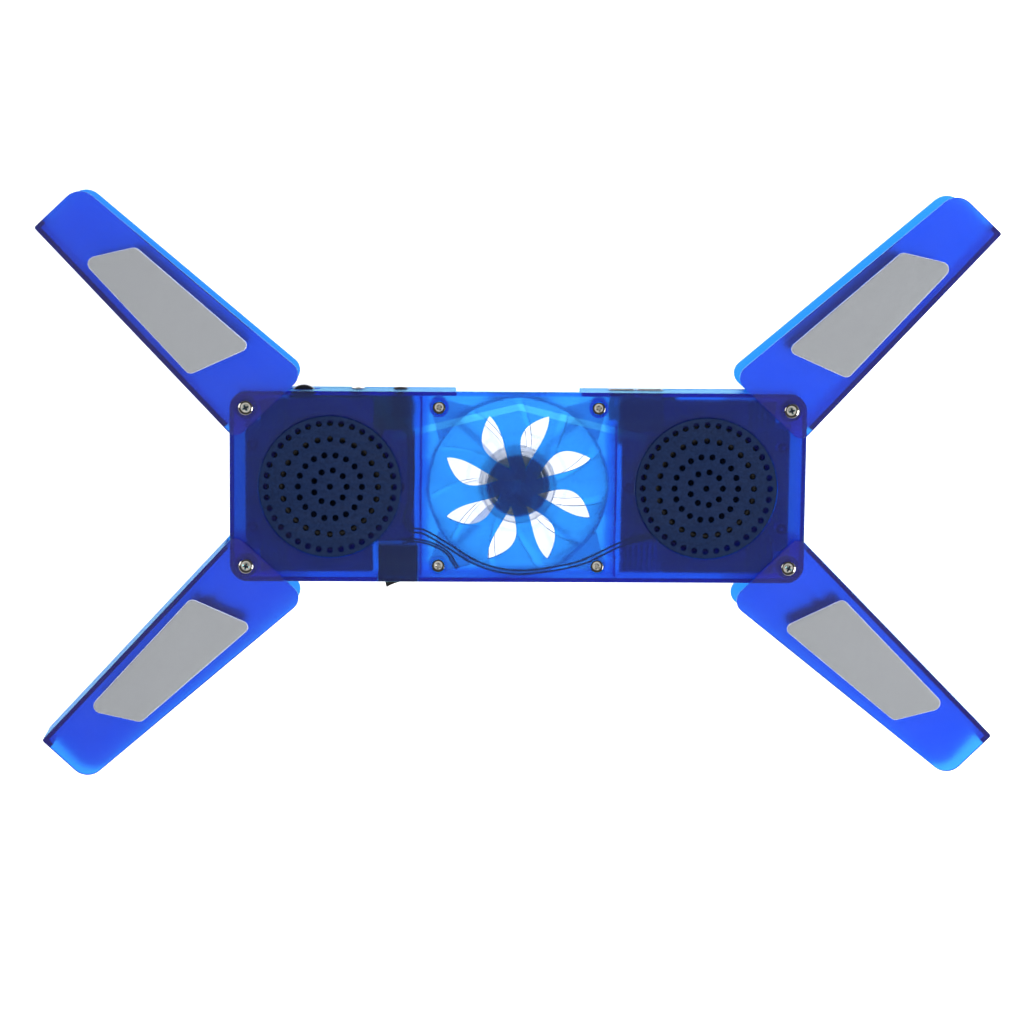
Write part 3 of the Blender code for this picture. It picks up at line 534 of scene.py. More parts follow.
RUBBER = solid("grey_pad_rubber", (150, 153, 157), (163, 166, 170), rough=(0.75, 0.9),
               scale=1900.0, bump=0.6, depth=0.00012, extra=rubber_specks, spec=0.25)
# pale lavender sheet whose rim shows round each pad: a painted highlight along the pad's edge
PAD_RIM_HIGHLIGHT = solid("pad_rim_painted_highlight", (205, 212, 236), (228, 233, 248), rough=(0.3, 0.45),
             scale=500.0, bump=0.1)
FOOT = solid("foot_rubber", (24, 24, 26), (44, 44, 47), rough=(0.7, 0.9), scale=1300.0,
             bump=0.5, depth=0.0001, spec=0.25)
CHROME = solid("nickel_plate", (200, 196, 186), (232, 229, 221), rough=(0.06, 0.14),
               scale=900.0, bump=0.08, depth=0.00003, metal=1.0)
STEEL = solid("ground_steel", (150, 150, 150), (190, 190, 190), rough=(0.25, 0.4),
              scale=1500.0, bump=0.1, depth=0.00003, metal=1.0)
# dark colour for the cross recess: painted shade inside the slots
RECESS_SHADE = solid("screw_recess_shade", (22, 20, 16), (66, 61, 50), rough=(0.35, 0.5), scale=1200.0,
               bump=0.2, depth=0.00004, metal=0.7)
PAPER = solid("cone_paper", (9, 17, 42), (18, 32, 66), rough=(0.7, 0.95), scale=1600.0,
              bump=0.7, depth=0.00015, spec=0.3)
SURROUND = solid("cone_surround", (18, 18, 19), (30, 30, 31), rough=(0.35, 0.5), scale=500.0,
                 bump=0.1)
FERRITE = solid("ferrite", (38, 38, 40), (60, 60, 62), rough=(0.5, 0.7), scale=900.0, bump=0.4)
BOARD = solid("board_laminate", (16, 74, 40), (28, 96, 54), rough=(0.3, 0.45), scale=500.0,
              bump=0.1, extra=trace_lines)
CHIP = solid("chip_epoxy", (20, 20, 22), (34, 34, 36), rough=(0.5, 0.65), scale=1500.0, bump=0.3)
WIRE = solid("wire_sleeve", (14, 14, 20), (28, 28, 36), rough=(0.3, 0.45), scale=900.0, bump=0.1)
COPPER = solid("enamelled_winding", (150, 44, 30), (206, 84, 60), rough=(0.25, 0.4),
               scale=800.0, bump=0.2, metal=0.4, extra=winding_groove_shade)
WHITE = solid("socket_tongue", (225, 226, 230), (242, 243, 246), rough=(0.35, 0.5),
              scale=700.0, bump=0.1)
MAGNET = solid("motor_magnet", (22, 22, 24), (44, 44, 47), rough=(0.35, 0.55), scale=900.0,
               bump=0.3)
CAN = solid("capacitor_sleeve", (30, 34, 52), (52, 58, 80), rough=(0.25, 0.4), scale=600.0,
            bump=0.1)


# ------------------------------------------------------------------ body shells
PETALS = 8                                  # openings above the fan
PETAL_INNER, PETAL_OUTER, PETAL_HALF = 8.5, 35.0, 4.7
LID_POSTS = ((-119.5, 18.6), (-119.5, -18.6), (-53.4, -0.4),
             (119.5, 18.5), (119.5, -18.5), (50.4, -0.2))
# shallow groove under the lid, bent at x = 0
CHEVRON = [(-57.0, 20.9), (0.0, 34.7), (57.0, 20.9), (57.0, 24.3), (0.0, 38.1), (-57.0, 24.3)]
WALL_IN, WALL_OUT = HALF_Y - WALL - 0.6, HALF_Y + 1     # y reach of cuts through a long wall


def body_outline(inset):
    x, y = HALF_X - inset, HALF_Y - inset
    return rectangle(-x, -y, x, y, BODY_RADIUS - inset, 10)


def petal(angle):
    count = 22
    stations = []                           # radius, half width, sideways bow
    for k in range(count + 1):
        t = k / count
        half = PETAL_HALF * math.sin(math.pi * t ** 1.25) ** 0.85 if 0 < t < 1 else 0.0
        stations.append((PETAL_INNER + (PETAL_OUTER - PETAL_INNER) * t, half,
                         3.2 * math.sin(math.pi * t)))
    upper = [(radius, half + bow) for radius, half, bow in stations]
    lower = [(radius, bow - half) for radius, half, bow in stations[1:-1]]
    return turn_points(lower + upper[::-1], angle)


def pivot_collars(word, wide_z, narrow_z):
    """Wide post inside a shell and the narrow spigot that carries the arm."""
    x, y = PIVOT[word].x, PIVOT[word].y
    return [collar(x, y, (5.4, 40), (PIVOT_BORE, 20), *wide_z),
            collar(x, y, (2.5, 32), (PIVOT_BORE + 0.01, 20), *narrow_z)]


def pivot_bores(z0, z1):
    return [slab(circle(PIVOT[word].x, PIVOT[word].y, PIVOT_BORE, 20), z0, z1) for word in CORNERS]


def top_cover():
    holes = [petal(2 * math.pi * (k + 0.5) / PETALS) for k in range(PETALS)]
    holes += [circle(x, 0, SPEAKER_HOLE, 96) for x in SPEAKER_X.values()]
    holes += [circle(side_x * FAN_SCREW, side_y * FAN_SCREW, 3.3, 28)
              for side_x, side_y in CORNERS.values()]
    lid = slab(body_outline(0), BODY_TOP - WALL, BODY_TOP, 0.7, 4, BLUE_TOP, holes, hole_edge=0.3)
    tools = [slab(body_outline(0.03), LID_EDGE, BODY_TOP - 1.1, holes=[body_outline(WALL)])]
    for x in SPEAKER_X.values():
        tools.append(collar(x, 0, (33.6, 96), (31.2, 96), BODY_TOP - WALL - 0.4, BODY_TOP - 1.45))
    for word, (side_x, side_y) in CORNERS.items():
        tools += pivot_collars(word, (LID_EDGE + 0.02, BODY_TOP - 0.9), (BODY_TOP - 1.4, ARM_TOP))
        tools.append(collar(side_x * FAN_SCREW, side_y * FAN_SCREW, (4.4, 36), (1.7, 20),
                            21.3 if side_y > 0 else 23.9, BODY_TOP - 1.25))
    for x, y in LID_POSTS:
        tools.append(collar(x, y, (2.5, 32), (1.0, 20), 20.8, BODY_TOP - 1.2))
    fuse(lid, *tools)
    gaps = pivot_bores(LID_EDGE - 1, ARM_TOP + 1)
    for x in USB_X.values():
        gaps.append(block(x - 6.2, WALL_IN, x + 6.2, WALL_OUT, 9.9, 16.0))
    for x in JACK_X.values():
        hole = turned([(0, -3), (3.4, -3), (3.4, 3), (0, 3)], 40)
        hole.data.transform(Matrix.Translation((x * MM, (HALF_Y - WALL / 2) * MM, JACK_Z * MM))
                            @ Matrix.Rotation(math.pi / 2, 4, "X"))
        gaps.append(hole)
    gaps.append(block(WHEEL.x - 7.2, WALL_IN, WHEEL.x + 7.2, WALL_OUT, 13.0, 17.0))
    gaps.append(block(-VENT_HALF, WALL_IN, VENT_HALF, WALL_OUT, LID_EDGE - 1, 23.4))
    gaps.append(slab(CHEVRON, BODY_TOP - WALL - 0.5, BODY_TOP - WALL + 1.2))
    gaps.append(block(ROCKER.x - 9.25, -WALL_OUT, ROCKER.x + 9.25, -WALL_IN, 10.65, 23.35))
    return cut(lid, *gaps)


def bottom_cover():
    tray = slab(body_outline(0), BODY_BASE, BODY_BASE + WALL, 0.7, 4, BLUE_BASE,
                holes=[rectangle(-40.6, -39.3, 40.6, 39.3, 5.0, 10)], hole_edge=0.3)
    tools = [slab(body_outline(0.03), BODY_BASE + 1.0, TRAY_EDGE, holes=[body_outline(WALL)])]
    for word in CORNERS:
        tools += pivot_collars(word, (BODY_BASE + 1.2, TRAY_EDGE - 0.02),
                               (ARM_BASE + 0.1, BODY_BASE + 1.5))
    for side, rear in ((-1, 41.4), (1, 28.6)):      # partitions beside the fan
        x0, x1 = sorted((side * 43.5, side * 44.5))
        tools.append(block(x0, -41.4, x1, rear, BODY_BASE + 1.3, 8.2))
        tools.append(block(x0 + 0.01, -40.7, x1 - 0.01, rear - 0.7, 8.0, 23.0))
    fuse(tray, *tools)
    gaps = pivot_bores(0.5, TRAY_EDGE + 1)
    for x in (-44, 44):                     # notches where the wires cross the partitions
        gaps.append(block(x - 2, -32, x + 2, -16, 20.8, 24))
    gaps.append(block(-42.1, -40.7, 42.1, 40.7, BODY_BASE + 0.8, BODY_BASE + 3, 6.2, 10))
    gaps.append(block(-VENT_HALF, HALF_Y - WALL + 0.1, VENT_HALF, HALF_Y + 1,
                      BODY_BASE - 1, TRAY_EDGE + 1))
    return cut(tray, *gaps)


finish(top_cover(), "top_cover", 30)
finish(bottom_cover(), "bottom_cover", 30)

# ------------------------------------------------------------------ arms
# Built about the pivot with the arm running along +x, for the right-handed case.
ARM_ROOT, ARM_TIP, ARM_OUTER, ARM_ROOT_IN, ARM_TIP_IN = -7.2, 121.8, -13.26, 29.6, 14.5
ARM_LOW_T, ARM_TOP_T, ARM_WALL = 2.0, 2.2, 2.2
ARM_WALL_START, ARM_RETURN_IN = 0.2, -8.2
ARM_OUTLINE = rounded([(ARM_ROOT, ARM_OUTER), (ARM_TIP, ARM_OUTER), (ARM_TIP, ARM_TIP_IN),
                       (ARM_ROOT, ARM_ROOT_IN)], (4.5, 1.2, 8.5, 6.0), 10)
ARM_WALL_OUTLINE = [                        # along the outer side and round the tip
    (ARM_WALL_START, ARM_OUTER + ARM_WALL), (ARM_WALL_START, ARM_OUTER + 0.04),
    (ARM_TIP - 0.9, ARM_OUTER + 0.04), (ARM_TIP - 0.3, ARM_OUTER + 0.3),
    (ARM_TIP - 0.04, ARM_OUTER + 0.9), (ARM_TIP - 0.04, ARM_RETURN_IN),
    (ARM_TIP - ARM_WALL, ARM_RETURN_IN), (ARM_TIP - ARM_WALL, ARM_OUTER + ARM_WALL)]
PAD_OUTLINE = rounded([(97.2, -7.6), (84.8, 13.7), (18.0, 20.6), (27.9, -8.0)],
                      (3.2, 3.6, 2.6, 3.0), 8)
FOOT_OUTLINE = rounded([(95.6, -6.3), (83.9, 12.4), (20.0, 19.0), (28.6, -6.6)], 2.5, 8)


def arm_shell(hand):
    bore = [flip(circle(0, 0, 2.85, 40), hand)]
    outline = flip(ARM_OUTLINE, hand)
    arm = slab(outline, ARM_TOP - ARM_TOP_T, ARM_TOP, 0.45, 4, BLUE_ARM, bore, hole_edge=0.2)
    lower = slab(outline, ARM_BASE, ARM_BASE + ARM_LOW_T, 0.45, 4, holes=bore, hole_edge=0.2)
    wall = slab(flip(ARM_WALL_OUTLINE, hand), ARM_BASE + 1.0, ARM_TOP - 1.1)
    fuse(arm, wall, lower)
    return cut(arm,                         # shallow seats for pad and foot
               slab(flip(shrink(PAD_OUTLINE, -0.3), hand), ARM_TOP - 0.6, ARM_TOP + 2),
               slab(flip(shrink(FOOT_OUTLINE, -0.3), hand), ARM_BASE - 2, ARM_BASE + 0.5))


def arm_pieces(word):
    side_x, side_y = CORNERS[word]
    hand = side_x * side_y
    swing = math.radians(SWING[word])
    heading = math.atan2(side_y * math.sin(swing), -side_x * math.cos(swing))
    body = "arm_" + word

    def place(obj, node, angle=32, name=None):
        obj.data.transform(Matrix.Translation((PIVOT[word].x * MM, PIVOT[word].y * MM, 0))
                           @ Matrix.Rotation(heading, 4, "Z"))
        finish(obj, node, angle, body, name)

    place(arm_shell(hand), body, 30)
    # pale rim round the pad: painted highlight
    highlight_rim = slab(flip(shrink(PAD_OUTLINE, -0.22), hand), ARM_TOP - 0.55, ARM_TOP + 0.25, 0.12, 2, PAD_RIM_HIGHLIGHT)
    place(highlight_rim, None, name="pad_rim_highlight_" + word)
    pad = slab(flip(shrink(PAD_OUTLINE, 0.12), hand), ARM_TOP + 0.25, ARM_TOP + 1.1, 0.35, 4, RUBBER)
    place(pad, "top_pad_" + word)
    foot = slab(flip(FOOT_OUTLINE, hand), 0.0, ARM_BASE + 0.2, 0.4, 4, FOOT)
    place(foot, "foot_" + word)


for word in CORNERS:
    arm_pieces(word)

# ------------------------------------------------------------------ screws
# Tips are (radius, z); heads are (radius, height over the seat); up is where the head points.
PIVOT_TOP_SCREW = dict(
    tip=((0, 12.5), (0.9, 12.6), (1.1, 13.2)), seat=ARM_TOP + 0.3, up=1, slot_half=1.75,
    head=((1.1, 0), (3.3, 0), (3.4, 0.1), (3.4, 0.45), (3.25, 0.75), (2.85, 1.02), (2.2, 1.2),
          (1.3, 1.28), (0, 1.3)))
PIVOT_BOTTOM_SCREW = dict(
    tip=((0, 12.0), (0.9, 11.9), (1.1, 11.3)), seat=ARM_BASE - 0.3, up=-1, slot_half=1.75,
    head=((1.1, 0), (3.3, 0), (3.4, 0.1), (3.4, 0.35), (3.2, 0.6), (2.7, 0.82), (1.6, 0.97),
          (0, 1.0)))
COVER_SCREW = dict(
    tip=((0, 15.2), (1.0, 15.4), (1.25, 16.2)), seat=BODY_TOP - 1.0, up=1, slot_half=1.5,
    head=((1.25, 0), (2.85, 0), (2.95, 0.1), (2.95, 0.3), (2.75, 0.6), (2.2, 0.82), (1.2, 0.93),
          (0, 0.95)))


def slot_cutter(angle, rows):
    """Tapered bar for one slot of the cross; rows are half length, half width, z."""
    build = bmesh.new()
    low, high = [add_ring(build, turn_points([(-long, -wide), (long, -wide), (long, wide),
                                              (-long, wide)], angle), z) for long, wide, z in rows]
    bridge(build, low, high)
    build.faces.new(low)
    build.faces.new(high)
    return make(build, RECESS_SHADE)


def screw(node, x, y, tip, head, seat, up, slot_half):
    obj = turned(list(tip) + [(radius, seat + up * rise) for radius, rise in head], 40, CHROME)
    crown = seat + up * (head[-1][1] - 0.05)
    rows = ((slot_half * 0.52, 0.28, crown - up * 0.9), (slot_half, 0.5, crown + up * 0.4))
    cut(obj, fuse(slot_cutter(0.0, rows), slot_cutter(math.pi / 2, rows)))
    obj.data.transform(Matrix.Rotation(math.radians((x * 7.3 + y * 3.1) % 90), 4, "Z"))
    obj.data.transform(Matrix.Translation((x * MM, y * MM, 0)))
    finish(obj, node, 28)


for word, (side_x, side_y) in CORNERS.items():
    x, y = PIVOT[word].x, PIVOT[word].y
    screw("pivot_screw_top_" + word, x, y, **PIVOT_TOP_SCREW)
    screw("pivot_screw_bottom_" + word, x, y, **PIVOT_BOTTOM_SCREW)
    screw("cover_screw_" + word, side_x * FAN_SCREW, side_y * FAN_SCREW, **COVER_SCREW)

# ------------------------------------------------------------------ loudspeakers
GRILLE_HOLE = 1.35
GRILLE_RINGS = ((9, 7.5), (18, 14.4), (24, 21.6), (36, 28.8))      # hole count, ring radius
TRAY_CROSS = [(-19.4, -39.4), (19.4, -39.4), (19.4, -25.4), (38.2, -25.4), (38.2, 25.4),
              (19.4, 25.4), (19.4, 39.4), (-19.4, 39.4), (-19.4, 25.4), (-38.2, 25.4),
              (-38.2, -25.4), (-19.4, -25.4)]
PANEL_X, PANEL_Y = (19.5, 38.2), (25.5, 39.4)       # corner panels, from the speaker's centre
NOTCH_X, NOTCH_Y = 31.4, 29.4
RIB_WIDTH, RIB_PITCH = 1.0, 2.4
BASKET_PROFILE = [(28.2, 20.8), (28.4, 21.0), (28.4, 21.8), (28.2, 22.0), (24.6, 22.0), (24.3, 21.9),
                  (15.6, 13.6), (8.2, 13.6), (8.2, 12.4), (16.2, 12.4), (16.6, 12.6), (25.2, 20.8)]
CONE_PROFILE = [(0, 18.6)]
for k in range(1, 7):                       # dust cap
    angle = math.pi / 2 * k / 6
    CONE_PROFILE.append((7.4 * math.sin(angle), 16.4 + 2.2 * math.cos(angle)))
CONE_PROFILE += [(8.0, 16.3), (12.0, 18.1), (16.0, 20.1), (19.8, 22.0), (20.4, 22.3)]
for k in range(1, 8):                       # rolled surround
    angle = math.pi * k / 8
    CONE_PROFILE.append((22.4 - 2.0 * math.cos(angle), 22.4 + 1.4 * math.sin(angle)))
CONE_PROFILE += [(24.5, 22.9), (24.8, 23.2), (27.4, 23.2), (27.6, 23.1), (27.6, 22.35),
                 (24.0, 22.35), (20.6, 21.4), (14.0, 18.2), (7.2, 15.0), (0, 17.4)]
SPEAKER_MAGNET_PROFILE = [
    (0, 6.4), (13.6, 6.4), (14.0, 6.6), (14.0, 7.4), (15.6, 7.4), (16.0, 7.8), (16.0, 10.6),
    (15.6, 11.0), (14.0, 11.0), (14.0, 12.1), (0, 12.1)]


def speaker_grille(centre):
    holes = [circle(centre, 0, GRILLE_HOLE, 24)]
    for count, radius in GRILLE_RINGS:
        for k in range(count):
            angle = 2 * math.pi * k / count
            holes.append(circle(centre + radius * math.cos(angle), radius * math.sin(angle),
                                GRILLE_HOLE, 24, angle))
    return slab(circle(centre, 0, 32.0, 120), BODY_TOP - 1.1, BODY_TOP, 0.3, 3, NAVY, holes,
                hole_edge=0.25)


def tray_panel(centre, toward_x, toward_y, notched):
    """Corner panel with fine ribs below; the outer ones are notched at their corner."""
    (x0, x1), (y0, y1) = PANEL_X, PANEL_Y
    shape = [(x0, y0), (x1, y0), (x1, y1), (x0, y1)]
    if notched:
        shape[2:3] = [(x1, NOTCH_Y), (NOTCH_X, NOTCH_Y), (NOTCH_X, y1)]
    shape = [(centre + toward_x * x, toward_y * y) for x, y in shape]
    if toward_x * toward_y < 0:
        shape.reverse()
    parts = [slab(rounded(shape, 0.6, 3), 18.55, 20.4, 0.2, 2, BLUE_DARK)]
    reach = NOTCH_X if notched else x1
    rib = x0 + 1.0
    rib_y = sorted((toward_y * (y0 + 0.8), toward_y * (y1 - 0.8)))
    while rib + RIB_WIDTH < reach:
        rib_x = sorted((centre + toward_x * rib, centre + toward_x * (rib + RIB_WIDTH)))
        parts.append(block(rib_x[0], rib_y[0], rib_x[1], rib_y[1], 15.2, 18.5, 0.2, 1,
                           edge=0.15, steps=1, mat=BLUE_DARK))
        rib += RIB_PITCH
    return parts


def speaker_tray(centre):
    side = -1 if centre < 0 else 1
    parts = [slab([(centre + x, y) for x, y in rounded(TRAY_CROSS, 1.2, 5)], 18.5, 20.5, 0.3, 2,
                  INDIGO, holes=[circle(centre, 0, 26.0, 96)])]
    for toward_x, toward_y in ((-1, -1), (-1, 1), (1, -1), (1, 1)):
        if side < 0 and toward_x > 0:
            continue                        # room for the switch and the wires
        parts += tray_panel(centre, toward_x, toward_y, notched=toward_x == side)
    return merge(parts)


def speaker_basket(centre):
    basket = turned(BASKET_PROFILE, 96, BLACK, centre)
    window = [(17.5, -6.5), (24.0, -9.0), (24.0, 9.0), (17.5, 6.5)]
    return cut(basket, *[slab(turn_points(window, math.pi / 4 + k * math.pi / 2, centre), 12.0, 20.0)
                         for k in range(4)])


def speaker_cone(centre):
    cone = turned(CONE_PROFILE, 96, PAPER, centre)
    cone.data.materials.append(SURROUND)
    for face in cone.data.polygons:
        if math.hypot(face.center.x * 1000 - centre, face.center.y * 1000) > 20.3:
            face.material_index = 1
    return cone


for word, centre in SPEAKER_X.items():
    finish(speaker_grille(centre), "speaker_grille_" + word, 40)
    finish(speaker_tray(centre), "speaker_tray_" + word, 35)
    finish(speaker_basket(centre), "speaker_basket_" + word, 35)
    finish(speaker_cone(centre), "speaker_cone_" + word, 45)
    finish(turned(SPEAKER_MAGNET_PROFILE, 80, FERRITE, centre), "speaker_magnet_" + word,
           35)

# ------------------------------------------------------------------ fan housing
DUCT_RADIUS, DUCT_WALL, EAR_RADIUS = 39.9, 1.0, 4.4
QUARTERS = [math.radians(45 + 90 * k) for k in range(4)]


def frame_ear(angle):
    """Screw ear that widens into the duct."""
    reach = FAN_SCREW * math.sqrt(2)
    tongue = [(DUCT_RADIUS + 0.45, -10.5), (reach, -EAR_RADIUS)]
    tongue += [(reach + EAR_RADIUS * math.sin(math.pi * k / 16),
                -EAR_RADIUS * math.cos(math.pi * k / 16)) for k in range(1, 16)]
    tongue += [(reach, EAR_RADIUS), (DUCT_RADIUS + 0.45, 10.5)]
    tongue += [((DUCT_RADIUS + 0.4) * math.cos(a), (DUCT_RADIUS + 0.4) * math.sin(a))
               for a in (0.2, 0.1, 0.0, -0.1, -0.2)]
    return slab(turn_points(tongue, angle), 17.8, 20.95, 0.35, 3,
                holes=[turn_points(circle(reach, 0, 1.95, 28), angle)])


def fan_frame():
    outer = DUCT_RADIUS + DUCT_WALL
    duct = slab(circle(0, 0, outer, 160), 6.0, 21.0, 0.3, 3, CLEAR_FRAME,
                holes=[circle(0, 0, DUCT_RADIUS, 160)])
    fuse(duct, *[frame_ear(math.atan2(side_y, side_x)) for side_x, side_y in CORNERS.values()])
    strut = rectangle(13.0, -1.3, DUCT_RADIUS + 0.5, 1.3)
    tools = [slab(turn_points(strut, angle), 6.1, 7.7) for angle in QUARTERS]
    tools.append(slab(circle(0, 0, 14.0, 80), 6.02, 7.6, 0.25, 2, holes=[circle(0, 0, 3.3, 32)]))
    return fuse(duct, *tools)


def sector(start, end, inner, outer, count=18):
    """Outline of a piece of a ring between two angles."""
    angles = [start + (end - start) * k / count for k in range(count + 1)]
    return ([(outer * math.cos(a), outer * math.sin(a)) for a in angles]
            + [(inner * math.cos(a), inner * math.sin(a)) for a in reversed(angles)])


def fan_guard():
    holes = []
    for inner, outer in ((7.0, 21.8), (23.3, 38.6)):
        for k in range(6):
            gap = 0.75 / ((inner + outer) / 2)      # spokes 1.5 wide
            holes.append(sector(math.radians(60 * k) + gap, math.radians(60 * (k + 1)) - gap,
                                inner, outer))
    for k in range(4):                      # slots in the corners
        for inner, outer, half in ((42.8, 45.0, 11.0), (46.5, 48.7, 5.0)):
            holes.append(sector(math.radians(45 + 90 * k - half), math.radians(45 + 90 * k + half),
                                inner, outer, 10))
    return slab(rectangle(-41.7, -40.3, 41.7, 40.3, 5.8, 10), 4.8, 5.6, 0.2, 2, CLEAR_GUARD, holes)


finish(fan_frame(), "fan_frame", 30)
finish(fan_guard(), "fan_guard", 35)

# ------------------------------------------------------------------ fan rotor
HUB_RADIUS, HUB_BORE = 17.5, 14.3
HUB_LOW, HUB_TOP = 9.6, 19.6
BLADES, BLADE_TIP = 11, 39.2
BLADE_WIDTH, BLADE_SWEEP = math.radians(27.0), math.radians(0.75)   # sweep is per mm of radius
BLADE_CELLS = 12                            # grid cells each way over a blade


def fan_hub():
    profile = [(0, HUB_TOP - 0.15), (4.6, HUB_TOP - 0.15), (5.0, HUB_TOP), (13.6, HUB_TOP)]
    profile += [(15.0 + 2.45 * math.sin(a), HUB_TOP - 2.3 + 2.25 * math.cos(a))
                for a in [math.pi / 2 * k / 8 for k in range(1, 9)]]
    profile += [(HUB_RADIUS, HUB_TOP - 3.2), (HUB_RADIUS, HUB_LOW + 0.5),
                (HUB_RADIUS - 0.5, HUB_LOW), (HUB_BORE + 0.2, HUB_LOW), (HUB_BORE, HUB_LOW + 0.2),
                (HUB_BORE, HUB_TOP - 1.8), (HUB_BORE - 0.6, HUB_TOP - 1.2), (3.0, HUB_TOP - 1.2),
                (3.0, HUB_TOP - 2.6), (1.35, HUB_TOP - 2.6), (1.35, HUB_TOP - 1.0),
                (0, HUB_TOP - 1.0)]
    return turned(profile, 96, CLEAR_HUB)


def add_blade(build, index):
    """One swept blade, a curved sheet thickest along its middle."""
    start = 2 * math.pi * index / BLADES + math.radians(39.0)
    last = BLADE_CELLS
    low, high = [], []
    for i in range(last + 1):
        station = HUB_RADIUS - 0.08 + (BLADE_TIP - HUB_RADIUS + 0.08) * i / last
        sweep = BLADE_SWEEP * (station - HUB_RADIUS)
        low.append([])
        high.append([])
        for j in range(last + 1):
            t = j / last
            clipped = i == last and j in (0, last)      # tip corners
            radius = station - 0.35 if clipped else station
            angle = start + sweep - BLADE_WIDTH * t
            z = 18.6 - 8.2 * t - 0.9 * math.sin(math.pi * t)
            thick = 0.74 * (0.35 + 0.65 * math.sin(math.pi * (0.06 + 0.88 * t)) ** 0.5)
            low[-1].append(build.verts.new((radius * math.cos(angle) * MM,
                                            radius * math.sin(angle) * MM, z * MM)))
            angle -= thick * 0.8 / radius
            high[-1].append(build.verts.new((radius * math.cos(angle) * MM,
                                             radius * math.sin(angle) * MM,
                                             (z + thick * 0.9) * MM)))
    for i in range(last):
        for j in range(last):
            build.faces.new((low[i][j], low[i][j + 1], low[i + 1][j + 1], low[i + 1][j]))
            build.faces.new((high[i][j], high[i + 1][j], high[i + 1][j + 1], high[i][j + 1]))
    rim = ([(i, 0) for i in range(last + 1)] + [(last, j) for j in range(1, last + 1)]
           + [(i, last) for i in range(last - 1, -1, -1)] + [(0, j) for j in range(last - 1, 0, -1)])
    for (i, j), (k, m) in zip(rim, rim[1:] + rim[:1]):
        build.faces.new((low[i][j], low[k][m], high[k][m], high[i][j]))


def fan_rotor():
    hub = fan_hub()
    build = bmesh.new()
    for k in range(BLADES):
        add_blade(build, k)
    return merge([hub, make(build, CLEAR)])


finish(fan_rotor(), "fan_rotor", 30, "fan")
finish(turned([(13.6, 10.0), (13.8, 10.2), (13.8, 17.8), (13.6, 18.0), (12.5, 18.0), (12.3, 17.8),
               (12.3, 10.2), (12.5, 10.0)], 96, MAGNET), "rotor_magnet", body="fan")
finish(turned([(0, 8.6), (0.9, 8.6), (1.05, 8.8), (1.05, 18.0), (0.9, 18.2), (0, 18.2)], 32, STEEL),
       "fan_shaft", body="fan")
finish(turned([(1.5, 8.2), (2.6, 8.2), (2.7, 8.3), (2.7, 14.8), (2.5, 15.0), (1.6, 15.0),
               (1.45, 14.8), (1.45, 8.3)], 40, STEEL), "fan_bearing")
finish(slab(circle(0, 0, 12.0, 64), 8.0, 9.1, 0.1, 1, BOARD, [circle(0, 0, 3.2, 32)]),
       "motor_board")

# ------------------------------------------------------------------ stator
POLE_FLANK = [(5.2, -0.5), (9.9, -0.24), (10.6, -0.62), (11.4, -0.66)]     # radius, angle
COIL_LOOP = [(-2.5, 10.0), (0, 9.75), (2.5, 10.0), (2.9, 13.0), (2.5, 16.5), (0, 17.0),
             (-2.5, 16.5), (-2.9, 13.0)]    # y, z of one turn round a pole
COIL_ROWS, COIL_FIRST, COIL_PITCH = 6, 5.9, 0.68


def core_outline():
    """Four poles with wide faces."""
    arc = [(11.8, -0.62 + 1.24 * i / 8) for i in range(9)]
    pole = POLE_FLANK + arc + [(radius, -angle) for radius, angle in POLE_FLANK[::-1]]
    return [(radius * math.cos(math.radians(90 * k) + angle),
             radius * math.sin(math.radians(90 * k) + angle))
            for k in range(4) for radius, angle in pole]


def coil_turn(x, angle):
    steps = 3
    points = [(x, y, z) for y, z in COIL_LOOP]
    path = smooth_path(points + points[:3], steps)[steps:steps + len(points) * steps]
    build = bmesh.new()
    side = Vector((1, 0, 0))
    rings = []
    for i, point in enumerate(path):
        ahead = (path[(i + 1) % len(path)] - path[i - 1]).normalized()
        rings.append(wire_ring(build, point, side, side.cross(ahead).normalized(), 0.33, 8))
    for low, high in zip(rings, rings[1:] + rings[:1]):
        bridge(build, low, high)
    coil = make(build, COPPER)
    coil.data.transform(Matrix.Rotation(angle, 4, "Z"))
    return coil


def fan_stator():
    outline = core_outline()
    holes = [circle(0, 0, 3.05, 32)]
    cap = shrink(outline, 0.15)
    parts = [slab(outline, 11.0, 15.0, 0.1, 1, FERRITE, holes),
             slab(cap, 15.05, 16.4, 0.25, 3, BLACK_GLOSS, holes),
             slab(cap, 9.6, 10.95, 0.2, 2, BLACK_GLOSS, holes),
             turned([(2.95, 9.3), (5.0, 9.3), (5.0, 16.6), (4.7, 16.9), (3.2, 16.9), (2.95, 16.7)],
                    48, BLACK_GLOSS)]
    parts += [coil_turn(COIL_FIRST + row * COIL_PITCH, math.radians(90 * k))
              for k in range(4) for row in range(COIL_ROWS)]
    return merge(parts)


finish(fan_stator(), "fan_stator", 40)

# ------------------------------------------------------------------ circuit boards
# Parts are x, y, width, depth, height, kind.
AMPLIFIER_PARTS = (
    (-86, 28.5, 9.0, 4.0, 1.6, "chip"), (-66, 22.5, 5.0, 4.0, 1.5, "chip"),
    (-79.5, 21, 4.0, 4.0, 6.2, "can"), (-96.8, 24.5, 5.0, 5.0, 6.4, "can"),
    (-91.5, 20.5, 4.0, 4.0, 5.4, "can"), (-58.5, 22.0, 2.0, 1.2, 0.7, "small"),
    (-72.5, 26.6, 2.0, 1.2, 0.7, "small"), (-75.5, 26.6, 2.0, 1.2, 0.7, "small"),
    (-52.5, 22.5, 1.6, 1.0, 0.7, "small"), (-100.5, 30.0, 1.6, 1.0, 0.7, "small"))
USB_PARTS = (
    (58.0, 23.5, 6.0, 4.0, 1.5, "chip"), (50.5, 22.5, 3.6, 3.6, 5.0, "can"),
    (66.5, 25.5, 1.6, 1.0, 0.7, "small"), (64.0, 21.0, 1.6, 1.0, 0.7, "small"))
LEG_PITCH, LEG_HALF, LEG_LENGTH = 1.27, 0.2, 0.9


